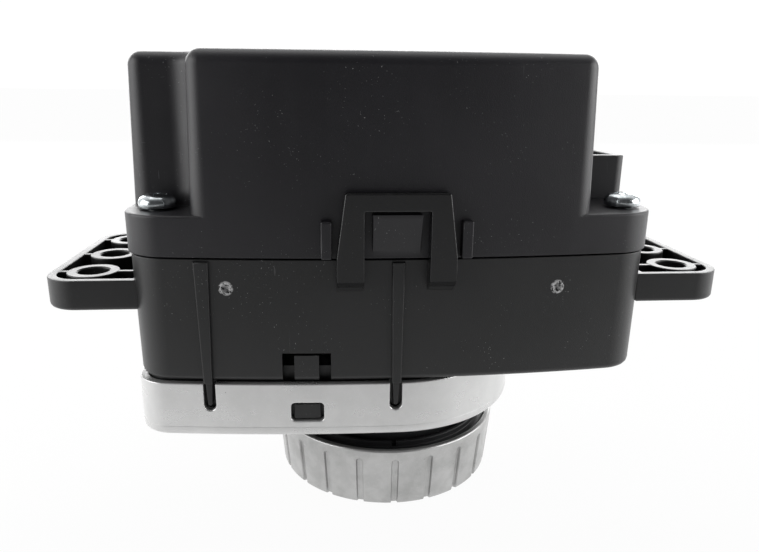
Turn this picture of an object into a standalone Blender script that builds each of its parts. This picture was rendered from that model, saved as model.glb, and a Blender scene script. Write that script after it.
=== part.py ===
"""Rotary battery selector switch with a push button, for a helm or console panel.

The switch stands on its knob. The origin is the centre of the knob's face and +Z is the knob's axis, pointing to the
rear cover. The body is long in X: the push button is at -X and the plug socket at +X. Sizes are in millimetres and
the geometry is made in metres.
"""

from math import acos, atan2, cos, degrees, pi, radians, sin, sqrt, tan

import bmesh
import bpy
from mathutils import Matrix, Vector

MM = 0.001
GAP = 0.3  # between pieces that rest on each other or pass each other
RUN = 0.2  # between a turning piece and its bearing
OVERLAP = 0.8  # how far a joined shape reaches into the wall that carries it
SINK = 0.5  # how far a post or boss is sunk into the floor that carries it
PAST = 1.0  # how far a cutter reaches past the surface that it cuts

# Heights, in order from the knob's face to the top of the rear cover
KNOB_HEIGHT = 13.6
KNOB_STANDOFF = 5.6
BEZEL_HEIGHT = 11.2
BEZEL_SEAM = 0.6
HOUSING_HEIGHT = 24.3
COVER_SEAM = 0.4
FLANGE_HEIGHT = 7.6
COVER_RISE = 28.6

BEZEL_LOW = KNOB_HEIGHT + KNOB_STANDOFF
BEZEL_HIGH = BEZEL_LOW + BEZEL_HEIGHT
HOUSING_LOW = BEZEL_HIGH + BEZEL_SEAM
HOUSING_HIGH = HOUSING_LOW + HOUSING_HEIGHT
COVER_LOW = HOUSING_HIGH + COVER_SEAM
FLANGE_HIGH = COVER_LOW + FLANGE_HEIGHT
COVER_HIGH = FLANGE_HIGH + COVER_RISE

# Body
BODY_WIDTH = 100.0
BODY_DEPTH = 57.6
FACE_BOW = 3.25  # how far each long face falls back at the body's ends
LEFT_REACH = 1.0  # how much further the button's end reaches than the plug's end
BODY_CORNER = 8.0
BODY_EDGE = 1.2  # rounding of the housing's lower edge
WALL = 2.0
FLOOR = 2.2
FLANGE_OVERHANG = 0.5
BOW_STEPS = 4

# Fixing ears
EAR_REACH = 18.3  # how far each ear reaches beyond the body's end
EAR_SPAN = BODY_WIDTH + 2 * EAR_REACH
EAR_DEPTH = BODY_DEPTH - 13.8
EAR_THICKNESS = 6.0
EAR_FLOOR = 2.0
EAR_WALL = 1.7
EAR_CORNER = 6.5
EAR_DROP = 5.3  # from the housing's rim to the ears' ribbed side
EAR_HOLE_OFFSET = EAR_SPAN / 2 - 8.1
EAR_HOLE_PITCH = EAR_DEPTH / 2 - 7.6
EAR_HOLE_RADIUS = 3.0
EAR_BOSS_RADIUS = 5.0
EAR_RIB = 1.2

# Latches, which join the housing and the cover at the middle of each long face
LATCH_X = -1.0
LATCH_THICKNESS = 2.0
LATCH_TOP_WIDTH = 18.8
LATCH_FOOT_WIDTH = 22.0
LATCH_WINDOW = 11.9
LATCH_BAR = 3.3
LATCH_RISE = 12.65  # above the housing's rim
LATCH_FOOT = 6.55  # below the housing's rim
LATCH_RAMP = 3.05
CATCH_WIDTH = 9.0
CATCH_HEIGHT = 7.0
CATCH_DEPTH = 2.0
GUIDE_RIB = 2.0
GUIDE_RIB_DEPTH = 1.7
GUIDE_RIB_HEIGHT = 6.9

# Ribs and snap tongue on the housing's long faces
RIB_PROUD = 0.7
END_RIB_X = 13.3 - BODY_WIDTH / 2
END_RIB_TOP = 2.8
END_RIB_FOOT = 1.7
MIDDLE_RIB_X = -0.5
MIDDLE_RIB_TOP = 2.4
MIDDLE_RIB_FOOT = 1.8
TONGUE_X = -17.8
TONGUE_WIDTH = 4.7
TONGUE_HEIGHT = 5.4
TONGUE_SLOT = 2.3
TONGUE_DEPTH = 1.4

# Cover screws
COVER_SCREW_X = BODY_WIDTH / 2 - 4.5
COVER_SCREW_Y = BODY_DEPTH / 2 - 10.0
COVER_SCREW_RADIUS = 1.75
COVER_SCREW_LENGTH = 16.0
COVER_SCREW_HEAD = 3.5
COVER_SCREW_HEAD_HEIGHT = 2.5
COVER_BOSS_RADIUS = 3.9

# Rear cover
COVER_LEFT_STEP = 12.5 - BODY_WIDTH / 2  # where the set-back left end starts
COVER_RIGHT = BODY_WIDTH / 2 - 14.1
SET_BACK_DEPTH = 2 * COVER_SCREW_Y - 8.6
COVER_CORNER = 3.0
SET_BACK_BLEND = 4.5
COVER_EDGE = 2.6
SHROUD_DEPTH = 2 * COVER_SCREW_Y - 20.0
SHROUD_RISE = 9.2
SHROUD_FACET = 1.4
SHROUD_WALL = 2.2

# Bezel and front panel
BEZEL_RADIUS = BODY_DEPTH / 2 - 0.3
BEZEL_LEFT = BODY_WIDTH / 2 + LEFT_REACH + 0.4
BEZEL_CORNER = 7.0
BEZEL_WALL = 1.6
BEZEL_EDGE = 1.2
BEZEL_WINDOW_X = -17.8
BEZEL_WINDOW_WIDTH = 6.4
BEZEL_WINDOW_HEIGHT = 3.9
BEZEL_WINDOW_RISE = 3.3
BEZEL_WINDOW_CORNER = 0.8
BEZEL_SLOT_DEPTH = 5.7
COLLAR_WALL = 1.6
PANEL_THICKNESS = 2.0
PANEL_RECESS = 0.4

# Knob
RING_RADIUS = 25.5
RING_FOOT_RADIUS = RING_RADIUS - 1.1
RING_INNER_RADIUS = RING_FOOT_RADIUS - 1.2
RING_RIM_WALL = 0.9
RING_EDGE = 0.9
RING_LOW = 0.4
RING_SEAT = 9.4  # height of the step that the core rests on
FLUTES = 21
FLUTE_WIDTH = 1.3
FLUTE_DEPTH = 0.5
FLUTE_MARGIN = 2.2  # plain band left above the flutes
CORE_FLANGE = 3.2
CORE_WALL = 1.7
NECK_RADIUS = RING_RADIUS - 5.0
NECK_GAP = 0.5
CORE_RING_RADIUS = RING_RADIUS - 3.0
CORE_RING_WALL = 0.9
CORE_RING_RISE = 1.2
FACE_THICKNESS = 2.2
POINTER_LENGTH = 9.0
POINTER_WIDTH = 1.4
POINTER_DEPTH = 0.6

# Spindle and its bearing
SPINDLE_RADIUS = 4.0
SPINDLE_LOW = 4.6
SPINDLE_FLAT = SPINDLE_RADIUS - 1.0  # from the axis to the driving flat
SPINDLE_CHAMFER = 0.6
BUSH_RADIUS = SPINDLE_RADIUS + 2.0
BUSH_FLANGE_RADIUS = BUSH_RADIUS + 2.5
BUSH_FLANGE = 0.8
BUSH_BOSS_RADIUS = BUSH_RADIUS + 3.0
BUSH_LENGTH = 7.6
CLIP_RADIUS = BUSH_RADIUS
CLIP_THICKNESS = 0.8
CLIP_GROOVE_DEPTH = 0.7
CLIP_OPENING = 2.4
HUB_RADIUS = SPINDLE_RADIUS + 3.5
HUB_CLEARANCE = 1.6  # from the knob's hub to the retaining clip

# Detent and stops
KNOB_TRAVEL = 135.0  # degrees
WHEEL_RADIUS = 16.0
WHEEL_THICKNESS = 3.4
DETENTS = 24
DETENT_DEPTH = 0.8
BALL_RADIUS = 2.0
STOP_LUG_WIDTH = 4.0
STOP_LUG_RADIUS = 19.5
STOP_POST_RADIUS = 1.5
BALL_BLOCK_WIDTH = 8.0

# Sensor gears
GEAR_MODULE = 1.25
DRIVE_TEETH = 24
SENSOR_TEETH = 12
GEAR_BACKLASH = 0.4
GEAR_ADDENDUM = 0.85
GEAR_DEDENDUM = 1.25
PRESSURE_ANGLE = radians(20)
DRIVE_GEAR_THICKNESS = 4.2
SENSOR_GEAR_THICKNESS = 3.4
SENSOR_PIN_RADIUS = 1.5
SENSOR_PIN_DEPTH = 4.0  # of the pin's hole under the sensor gear
SENSOR_BOSS_RADIUS = 4.0
MAGNET_RADIUS = 3.0
MAGNET_HEIGHT = 2.2
CUP_WALL = 1.0

# Push button
BUTTON_X = 12.0 - BODY_WIDTH / 2
BUTTON_WIDTH = 11.4
BUTTON_LENGTH = 21.4
BUTTON_CORNER = 2.5
BUTTON_PROUD = 0.9
BUTTON_TRAVEL = 1.2
BUTTON_FLANGE = 1.2
BUTTON_FLANGE_LIP = 1.3
SWITCH_SIDE = 6.0
SWITCH_HEIGHT = 2.5
PLUNGER_RADIUS = 1.6
PLUNGER_HEIGHT = 0.7
BUTTON_SPRING_RADIUS = 5.2
BUTTON_SPRING_WIRE = 0.35
BUTTON_SPRING_TURNS = 3.5
BUTTON_BOARD_X = (BUTTON_X - 7.4, BUTTON_X + 7.4)
BUTTON_BOARD_Y = (-14.0, 19.0)
LENS_Y = 16.0
LENS_SIZE = (6.0, 2.4)

# Circuit board and what it carries
BOARD_THICKNESS = 1.6
BOARD_DROP = 5.3  # from the housing's rim to the board's lower side
BOARD_HALF = (BODY_WIDTH / 2 - 8.8, BODY_DEPTH / 2 - 5.2)
BOARD_TAB = (BODY_WIDTH / 2 - 2.8, COVER_SCREW_Y - 7.5)
BOARD_SCREW_X = BODY_WIDTH / 2 - 16.0
BOARD_SCREW_Y = BODY_DEPTH / 2 - 9.8
BOARD_SCREW_RADIUS = 1.1
BOARD_SCREW_LENGTH = 7.0
BOARD_SCREW_HEAD = 2.3
BOARD_SCREW_HEAD_HEIGHT = 1.6
BOARD_POST_RADIUS = 3.0
SPINDLE_DROP = 4.0  # from the board down to the spindle's end
RELAY_SIZE = (30.0, 26.0, 28.0)
RELAY_X = 4.0
CAPACITOR_RADIUS = 5.0
CAPACITOR_HEIGHT = 20.0
CAPACITOR_X = -22.0
CAPACITOR_Y = 9.0
CHIP_SIDE = 10.0
CHIP_HEIGHT = 1.4
HALL_SIZE = (5.0, 4.0, 1.0)
PIN_SIDE = 0.64
PIN_ROWS = 2
PINS_IN_ROW = 5
PIN_PITCH = 2.2
PIN_ROW_PITCH = 3.0
PIN_TOP_DROP = 5.0  # from the shroud's mouth to the pins' tips
HEADER_RISE = 10.1

# Values that follow from the sizes above
EAR_HIGH = HOUSING_HIGH - EAR_DROP
SLOT_FOOT = BEZEL_HIGH - BEZEL_SLOT_DEPTH
EAR_LOW = EAR_HIGH - EAR_THICKNESS
FLOOR_HIGH = HOUSING_LOW + FLOOR
PANEL_LOW = BEZEL_LOW + PANEL_RECESS
PANEL_HIGH = PANEL_LOW + PANEL_THICKNESS
COLLAR_LOW = PANEL_HIGH + GAP
CORE_FLANGE_LOW = RING_SEAT + GAP
CORE_TOP = CORE_FLANGE_LOW + CORE_FLANGE
WHEEL_LOW = FLOOR_HIGH + BUSH_FLANGE + 2 * GAP
WHEEL_HIGH = WHEEL_LOW + WHEEL_THICKNESS
DRIVE_GEAR_LOW = WHEEL_HIGH + GAP
SENSOR_X = GEAR_MODULE * (DRIVE_TEETH + SENSOR_TEETH) / 2
SENSOR_GEAR_LOW = DRIVE_GEAR_LOW + (DRIVE_GEAR_THICKNESS - SENSOR_GEAR_THICKNESS) / 2
SENSOR_GEAR_HIGH = SENSOR_GEAR_LOW + SENSOR_GEAR_THICKNESS
BALL_Y = WHEEL_RADIUS + GAP + BALL_RADIUS
BALL_Z = (WHEEL_LOW + WHEEL_HIGH) / 2
BOARD_HEIGHT = HOUSING_HIGH - BOARD_DROP
BOARD_TOP = BOARD_HEIGHT + BOARD_THICKNESS
SPINDLE_HIGH = BOARD_HEIGHT - SPINDLE_DROP
BUSH_HIGH = FLOOR_HIGH + GAP + BUSH_FLANGE
BUSH_LOW = BUSH_HIGH - BUSH_LENGTH
CLIP_LOW = BUSH_LOW - GAP - CLIP_THICKNESS
HUB_HEIGHT = CLIP_LOW - HUB_CLEARANCE
SHROUD_TOP = FLANGE_HIGH + SHROUD_RISE
BUTTON_BOARD_HIGH = HOUSING_LOW - 2 * GAP
BUTTON_BOARD_LOW = BUTTON_BOARD_HIGH - 1.2
SWITCH_HIGH = BUTTON_BOARD_LOW - GAP
SWITCH_LOW = SWITCH_HIGH - SWITCH_HEIGHT
PLUNGER_LOW = SWITCH_LOW - PLUNGER_HEIGHT
SHROUD_X = (COVER_RIGHT - OVERLAP, BODY_WIDTH / 2 + FLANGE_OVERHANG - GAP)
SOCKET_X = (COVER_RIGHT + SHROUD_WALL + 1.9, SHROUD_X[1] - SHROUD_WALL)
SOCKET_Y = SHROUD_DEPTH / 2 - SHROUD_WALL


# --- Scene and materials ------------------------------------------------------------------------------------------


def clear_scene():
    for obj in list(bpy.data.objects):
        bpy.data.objects.remove(obj, do_unlink=True)


def new_collection(name):
    collection = bpy.data.collections.new(name)
    bpy.context.scene.collection.children.link(collection)
    return collection


def principled(name, color, roughness, metallic=0.0):
    material = bpy.data.materials.new(name)
    material.use_nodes = True
    shader = material.node_tree.nodes["Principled BSDF"]
    shader.inputs["Base Color"].default_value = (*color, 1.0)
    shader.inputs["Roughness"].default_value = roughness
    shader.inputs["Metallic"].default_value = metallic
    return material


def coat(mesh, name, color, roughness, metallic=0.0):
    """Names a mesh and gives it a material of its own."""
    mesh.name = name
    mesh.materials.clear()
    mesh.materials.append(principled(name, color, roughness, metallic))


def finish(obj, name, *look):
    """Names a finished piece and gives it the look (colour, roughness, metallic)."""
    obj.name = name
    coat(obj.data, name, *look)


def link(name, data):
    obj = bpy.data.objects.new(name, data)
    PARTS.objects.link(obj)
    return obj


def mesh_object(name, build):
    """An object whose mesh the function build fills in, shaded smooth with sharp edges."""
    work = bmesh.new()
    build(work)
    mesh = bpy.data.meshes.new(name)
    work.to_mesh(mesh)
    work.free()
    mesh.shade_smooth()
    mesh.set_sharp_from_angle(angle=radians(32))
    return link(name, mesh)


# --- Shapes -------------------------------------------------------------------------------------------------------


def arc(radius, first, last, steps, centre=(0.0, 0.0)):
    """Points along an arc about centre, from one angle to the other, in degrees."""
    turns = [radians(first + (last - first) * step / steps) for step in range(steps + 1)]
    return [(centre[0] + radius * cos(turn), centre[1] + radius * sin(turn)) for turn in turns]


def circle(radius, steps, centre=(0.0, 0.0)):
    return arc(radius, 0, 360, steps, centre)[:-1]


def rectangle(low, high):
    return [(low[0], low[1]), (high[0], low[1]), (high[0], high[1]), (low[0], high[1])]


def rounded(corners, steps=4):
    """The outline through corners (x, y, radius), each rounded by an arc that touches both of its sides."""
    points = []
    for index, (x, y, radius) in enumerate(corners):
        here = Vector((x, y))
        if radius <= 0:
            points.append((x, y))
            continue
        before = (Vector(corners[index - 1][:2]) - here).normalized()
        after = (Vector(corners[(index + 1) % len(corners)][:2]) - here).normalized()
        half = before.angle(after) / 2
        centre = here + (before + after).normalized() * radius / sin(half)
        start = here + before * radius / tan(half) - centre
        side = 1 if before.cross(after) < 0 else -1
        first = degrees(atan2(start.y, start.x))
        points += arc(radius, first, first + side * degrees(pi - 2 * half), steps, centre)
    return points


def rounded_rectangle(low, high, radius, steps=4):
    return rounded([(x, y, radius) for x, y in rectangle(low, high)], steps)


def plate(name, outlines, low, high):
    """A flat plate from low to high in Z. The first outline is its edge and the others are holes."""
    curve = bpy.data.curves.new(name, "CURVE")
    curve.dimensions = "2D"
    curve.fill_mode = "BOTH"
    curve.extrude = (high - low) / 2 * MM
    for outline in outlines:
        spline = curve.splines.new("POLY")
        spline.points.add(len(outline) - 1)
        for point, (x, y) in zip(spline.points, outline):
            point.co = (x * MM, y * MM, 0.0, 1.0)
        spline.use_cyclic_u = True
    guide = link(name, curve)
    guide.location.z = (low + high) / 2 * MM
    bpy.context.view_layer.update()
    evaluated = guide.evaluated_get(bpy.context.evaluated_depsgraph_get())
    mesh = bpy.data.meshes.new_from_object(evaluated)
    mesh.transform(guide.matrix_world)
    work = bmesh.new()
    work.from_mesh(mesh)
    bmesh.ops.remove_doubles(work, verts=work.verts, dist=0.01 * MM)
    work.to_mesh(mesh)
    work.free()
    mesh.shade_smooth()
    mesh.set_sharp_from_angle(angle=radians(32))
    bpy.data.objects.remove(guide)
    bpy.data.curves.remove(curve)
    return link(name, mesh)


def front_plate(name, outline, low, high):
    """A plate whose outline is drawn in X and Z, from low to high in Y."""
    obj = plate(name, [outline], -high, -low)
    obj.data.transform(Matrix.Rotation(pi / 2, 4, "X"))
    return obj


def side_plate(name, outline, low, high):
    """A plate whose outline is drawn in Y and Z, from low to high in X."""
    obj = plate(name, [outline], low, high)
    obj.data.transform(Matrix(((0, 0, 1, 0), (1, 0, 0, 0), (0, 1, 0, 0), (0, 0, 0, 1))))
    return obj


def box(name, low, high, edge=0.0):
    """A box between two corners, with its edges rounded by edge."""
    size = [b - a for a, b in zip(low, high)]
    centre = [(a + b) / 2 for a, b in zip(low, high)]
    place = Matrix.Translation(Vector(centre) * MM) @ Matrix.Diagonal((*(Vector(size) * MM), 1.0))

    def build(work):
        bmesh.ops.create_cube(work, size=1.0, matrix=place)
        if edge:
            bmesh.ops.bevel(work, geom=work.edges[:], offset=edge * MM, segments=2, affect="EDGES", profile=0.5)

    return mesh_object(name, build)


def rod(name, radius, low, high, centre=(0.0, 0.0), steps=24, top_radius=None):
    """A cylinder along Z from low to high, or a cone when top_radius is given."""
    middle = Vector((centre[0], centre[1], (low + high) / 2)) * MM
    second = radius if top_radius is None else top_radius

    def build(work):
        bmesh.ops.create_cone(
            work,
            cap_ends=True,
            segments=steps,
            radius1=radius * MM,
            radius2=second * MM,
            depth=(high - low) * MM,
            matrix=Matrix.Translation(middle),
        )

    return mesh_object(name, build)


def turned(name, profile, steps, closed):
    """A turned solid about Z. The profile (radius, height) runs down its outer side; a ring's profile is closed."""
    mesh = bpy.data.meshes.new(name)
    points = [(radius * MM, 0.0, height * MM) for radius, height in profile]
    edges = [(index, index + 1) for index in range(len(points) - 1)]
    if closed:
        edges.append((len(points) - 1, 0))
    mesh.from_pydata(points, edges, [])
    obj = link(name, mesh)
    screw = obj.modifiers.new("Turn", "SCREW")
    screw.steps = steps
    screw.render_steps = steps
    screw.use_merge_vertices = True
    screw.merge_threshold = 0.01 * MM
    screw.use_smooth_shade = True
    weld = obj.modifiers.new("Weld", "WELD")
    weld.merge_threshold = 0.01 * MM
    return obj


def coil(name, radius, wire, low, high, turns, steps_in_turn=9):
    """A compression spring along Z: points on a helix, with wire as the wire's radius."""
    curve = bpy.data.curves.new(name, "CURVE")
    curve.dimensions = "3D"
    curve.bevel_depth = wire * MM
    curve.bevel_resolution = 1
    curve.use_fill_caps = True
    count = int(turns * steps_in_turn)
    spline = curve.splines.new("POLY")
    spline.points.add(count)
    for index, point in enumerate(spline.points):
        turn = 2 * pi * index / steps_in_turn
        height = low + wire + (high - low - 2 * wire) * index / count
        point.co = (radius * cos(turn) * MM, radius * sin(turn) * MM, height * MM, 1.0)
    return link(name, curve)


def soften(obj, height, width, segments=3, keep=None):
    """Rounds the edges of a mesh that lie at one height; keep(x, y) picks those to round."""
    work = bmesh.new()
    work.from_mesh(obj.data)

    def chosen(edge):
        level = all(abs(vert.co.z - height * MM) < 0.01 * MM for vert in edge.verts)
        outside = len({round(face.normal.z) for face in edge.link_faces}) > 1
        middle = (edge.verts[0].co + edge.verts[1].co) / 2 / MM
        return level and outside and (keep is None or keep(middle.x, middle.y))

    edges = [edge for edge in work.edges if chosen(edge)]
    bmesh.ops.bevel(work, geom=edges, offset=width * MM, segments=segments, affect="EDGES", profile=0.5)
    work.to_mesh(obj.data)
    work.free()
    obj.data.set_sharp_from_angle(angle=radians(32))
    return obj


def combine(target, operation, tools):
    """Adds a Boolean modifier for each tool and puts the tool away with the cutters."""
    for tool in tools:
        modifier = target.modifiers.new(tool.name, "BOOLEAN")
        modifier.operation = operation
        modifier.solver = "EXACT"
        modifier.object = tool
        PARTS.objects.unlink(tool)
        CUTTERS.objects.link(tool)
        tool.hide_render = True
        tool.display_type = "WIRE"
    return target


def cut(target, *tools):
    return combine(target, "DIFFERENCE", tools)


def join(target, *tools):
    return combine(target, "UNION", tools)


def mirrored(obj, axis):
    """Repeats an object on the other side of the body: axis 0 mirrors in X and axis 1 in Y."""
    modifier = obj.modifiers.new("Other side", "MIRROR")
    modifier.use_axis = (axis == 0, axis == 1, False)
    modifier.merge_threshold = 0.01 * MM
    return obj


def repeat(obj, places):
    """Replaces an object by numbered copies of it, one at each place, that share one mesh."""
    bpy.context.view_layer.update()
    evaluated = obj.evaluated_get(bpy.context.evaluated_depsgraph_get())
    mesh = bpy.data.meshes.new_from_object(evaluated)
    name = obj.name
    bpy.data.objects.remove(obj)
    copies = []
    for index, place in enumerate(places, 1):
        copy = link(f"{name}_{index}", mesh)
        copy.location = Vector(place) * MM
        copies.append(copy)
    return copies


def quadrants(x, y, z=0.0):
    return [(side_x * x, side_y * y, z) for side_x in (-1, 1) for side_y in (-1, 1)]


# --- Outlines that several pieces share ---------------------------------------------------------------------------


def face_y(x, grow=0.0):
    """Half the body's depth at x: the long faces are bowed."""
    return BODY_DEPTH / 2 + grow - FACE_BOW * (x / (BODY_WIDTH / 2)) ** 2


def body_outline(grow=0.0):
    """The outline of the housing, offset outwards by grow."""
    half = BODY_WIDTH / 2 + grow
    left = -half - LEFT_REACH
    reach = [half * step / BOW_STEPS for step in range(1 - BOW_STEPS, BOW_STEPS)]
    edge, left_edge = face_y(half, grow), face_y(left, grow)
    corner = BODY_CORNER + grow
    near = [(left, -left_edge, corner)] + [(x, -face_y(x, grow), 0.0) for x in reach] + [(half, -edge, corner)]
    far = [(half, edge, corner)] + [(x, face_y(x, grow), 0.0) for x in reversed(reach)] + [(left, left_edge, corner)]
    return rounded(near + far)


def cover_outline(grow):
    """The outline of the tall part of the rear cover, whose left end is set back to clear the screws."""
    step = COVER_LEFT_STEP - grow
    right = COVER_RIGHT + grow
    left = -(BODY_WIDTH / 2 + LEFT_REACH + grow)
    inner = SET_BACK_DEPTH / 2 + grow
    corner = COVER_CORNER + grow
    reach = [step + (right - step) * index / (2 * BOW_STEPS) for index in range(1, 2 * BOW_STEPS)]
    near = [(step, -face_y(step, grow), corner)] + [(x, -face_y(x, grow), 0.0) for x in reach]
    far = [(x, face_y(x, grow), 0.0) for x in reversed(reach)] + [(step, face_y(step, grow), corner)]
    sides = [(right, -face_y(right, grow), corner), (right, face_y(right, grow), corner)]
    blend = SET_BACK_BLEND - grow
    back = [(step, inner, blend), (left, inner, corner), (left, -inner, corner), (step, -inner, blend)]
    return rounded(near + sides + far + back, 4)


def bezel_outline(inset=0.0):
    """The outline of the bezel: a half circle about the knob, drawn out over the button to a square left end."""
    radius = BEZEL_RADIUS - inset
    left = -(BEZEL_LEFT - inset)
    corner = BEZEL_CORNER - inset
    reach = [left * step / BOW_STEPS for step in range(1, BOW_STEPS)]

    def half_depth(x):
        return radius - FACE_BOW * (x / (BODY_WIDTH / 2)) ** 2

    near = [(left, -half_depth(left), corner)] + [(x, -half_depth(x), 0.0) for x in reversed(reach)]
    far = [(x, half_depth(x), 0.0) for x in reach] + [(left, half_depth(left), corner)]
    bow = [(x, y, 0.0) for x, y in arc(radius, -90, 90, 20)]
    return rounded(near + bow + far)


def d_outline(clearance=0.0, steps=16):
    """The section of the spindle's driven end: round, with one flat at +Y."""
    radius = SPINDLE_RADIUS + clearance
    flat = SPINDLE_FLAT + clearance
    reach = degrees(acos(flat / radius))
    return arc(radius, 90 + reach, 450 - reach, steps)


# --- Housing ------------------------------------------------------------------------------------------------------


def fixing_ears():
    """Both ears: a tray with three holed bosses, each tied to the walls by a rib."""
    inner = BODY_WIDTH / 2 - OVERLAP
    tip = EAR_SPAN / 2
    depth = EAR_DEPTH / 2
    corners = [(inner, -depth, 0.0), (tip, -depth, EAR_CORNER), (tip, depth, EAR_CORNER), (inner, depth, 0.0)]
    ear = plate("ears", [rounded(corners)], EAR_LOW, EAR_HIGH)
    soften(ear, EAR_LOW, 0.8, 2, lambda x, y: x > inner + 0.1)
    shelf = BODY_WIDTH / 2 + OVERLAP
    reach = depth - EAR_WALL
    corner = EAR_CORNER - EAR_WALL
    end = tip - EAR_WALL
    hollow = [(shelf, -reach, 0.0), (end, -reach, corner), (end, reach, corner), (shelf, reach, 0.0)]
    pocket = plate("ear_pocket", [rounded(hollow)], EAR_LOW + EAR_FLOOR, EAR_HIGH + PAST)
    holes = []
    for index in (-1, 0, 1):
        y = index * EAR_HOLE_PITCH
        centre = (EAR_HOLE_OFFSET, y)
        boss = rod("ear_boss", EAR_BOSS_RADIUS, EAR_LOW, EAR_HIGH + 2 * PAST, centre, 20)
        low = (inner, y - EAR_RIB / 2, EAR_LOW)
        rib = box("ear_rib", low, (tip, y + EAR_RIB / 2, EAR_HIGH + 2 * PAST))
        cut(pocket, boss, rib)
        holes.append(rod("ear_hole", EAR_HOLE_RADIUS, EAR_LOW - PAST, EAR_HIGH + PAST, centre, 20))
    cut(ear, pocket, *holes)
    return mirrored(ear, 0)


def latch_loops():
    """Both latches: an inverted U that stands off the cover's face, on two ramped feet."""
    inside = BODY_DEPTH / 2 + FLANGE_OVERHANG + GAP
    outside = inside + LATCH_THICKNESS
    top = HOUSING_HIGH + LATCH_RISE
    low = HOUSING_HIGH - 1.2
    foot = LATCH_FOOT_WIDTH / 2
    head = LATCH_TOP_WIDTH / 2
    window = LATCH_WINDOW / 2
    corners = [(-foot, low), (-window, low), (-window, top - LATCH_BAR), (window, top - LATCH_BAR)]
    corners += [(window, low), (foot, low), (foot, low + 2.0), (head, top), (-head, top), (-foot, low + 2.0)]
    outline = [(LATCH_X + x, z) for x, z in corners]
    loop = front_plate("latch", outline, -outside, -inside)
    root = BODY_DEPTH / 2 - OVERLAP
    heel = HOUSING_HIGH - LATCH_FOOT
    ramp = [(-root, heel), (-root, HOUSING_HIGH - 0.2), (-outside, HOUSING_HIGH - 0.2), (-outside, heel + LATCH_RAMP)]
    for side in (-1, 1):
        edges = sorted((LATCH_X + side * window, LATCH_X + side * foot))
        join(loop, side_plate("latch_foot", ramp[::-1], *edges))
    return mirrored(loop, 1)


def slot_outline(x, width, foot, top):
    """An upright slot with a round foot, drawn in X and Z."""
    radius = width / 2
    round_foot = arc(radius, 180, 360, 6, (x, foot + radius))
    return round_foot + [(x + radius, top), (x - radius, top)]


def tapered_rib(name, x, top_width, foot_width):
    """A rib on both long faces, carried down as a tab into the bezel's slot."""
    outline = [
        (x - foot_width / 2, HOUSING_LOW - GAP),
        (x + foot_width / 2, HOUSING_LOW - GAP),
        (x + top_width / 2, HOUSING_HIGH - 0.4),
        (x - top_width / 2, HOUSING_HIGH - 0.4),
    ]
    rib = front_plate(name, outline, -face_y(x) - RIB_PROUD, -face_y(x) + OVERLAP)
    collar = bezel_depth(x) - BEZEL_WALL - GAP - COLLAR_WALL / 2
    tab_outline = slot_outline(x, foot_width, SLOT_FOOT + GAP, HOUSING_LOW + 0.5)
    tab = front_plate(name + "_tab", tab_outline, -face_y(x) + 0.1, -collar)
    return mirrored(rib, 1), mirrored(tab, 1)


def bezel_depth(x):
    """Half the bezel's depth at x, left of the knob's axis."""
    return BEZEL_RADIUS - FACE_BOW * (x / (BODY_WIDTH / 2)) ** 2


def stop_angle():
    """The angle between the stop lug and a stop post when they are GAP apart, in degrees."""
    reach = STOP_LUG_RADIUS - STOP_POST_RADIUS
    return degrees((STOP_LUG_WIDTH / 2 + STOP_POST_RADIUS + GAP) / reach)


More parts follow.
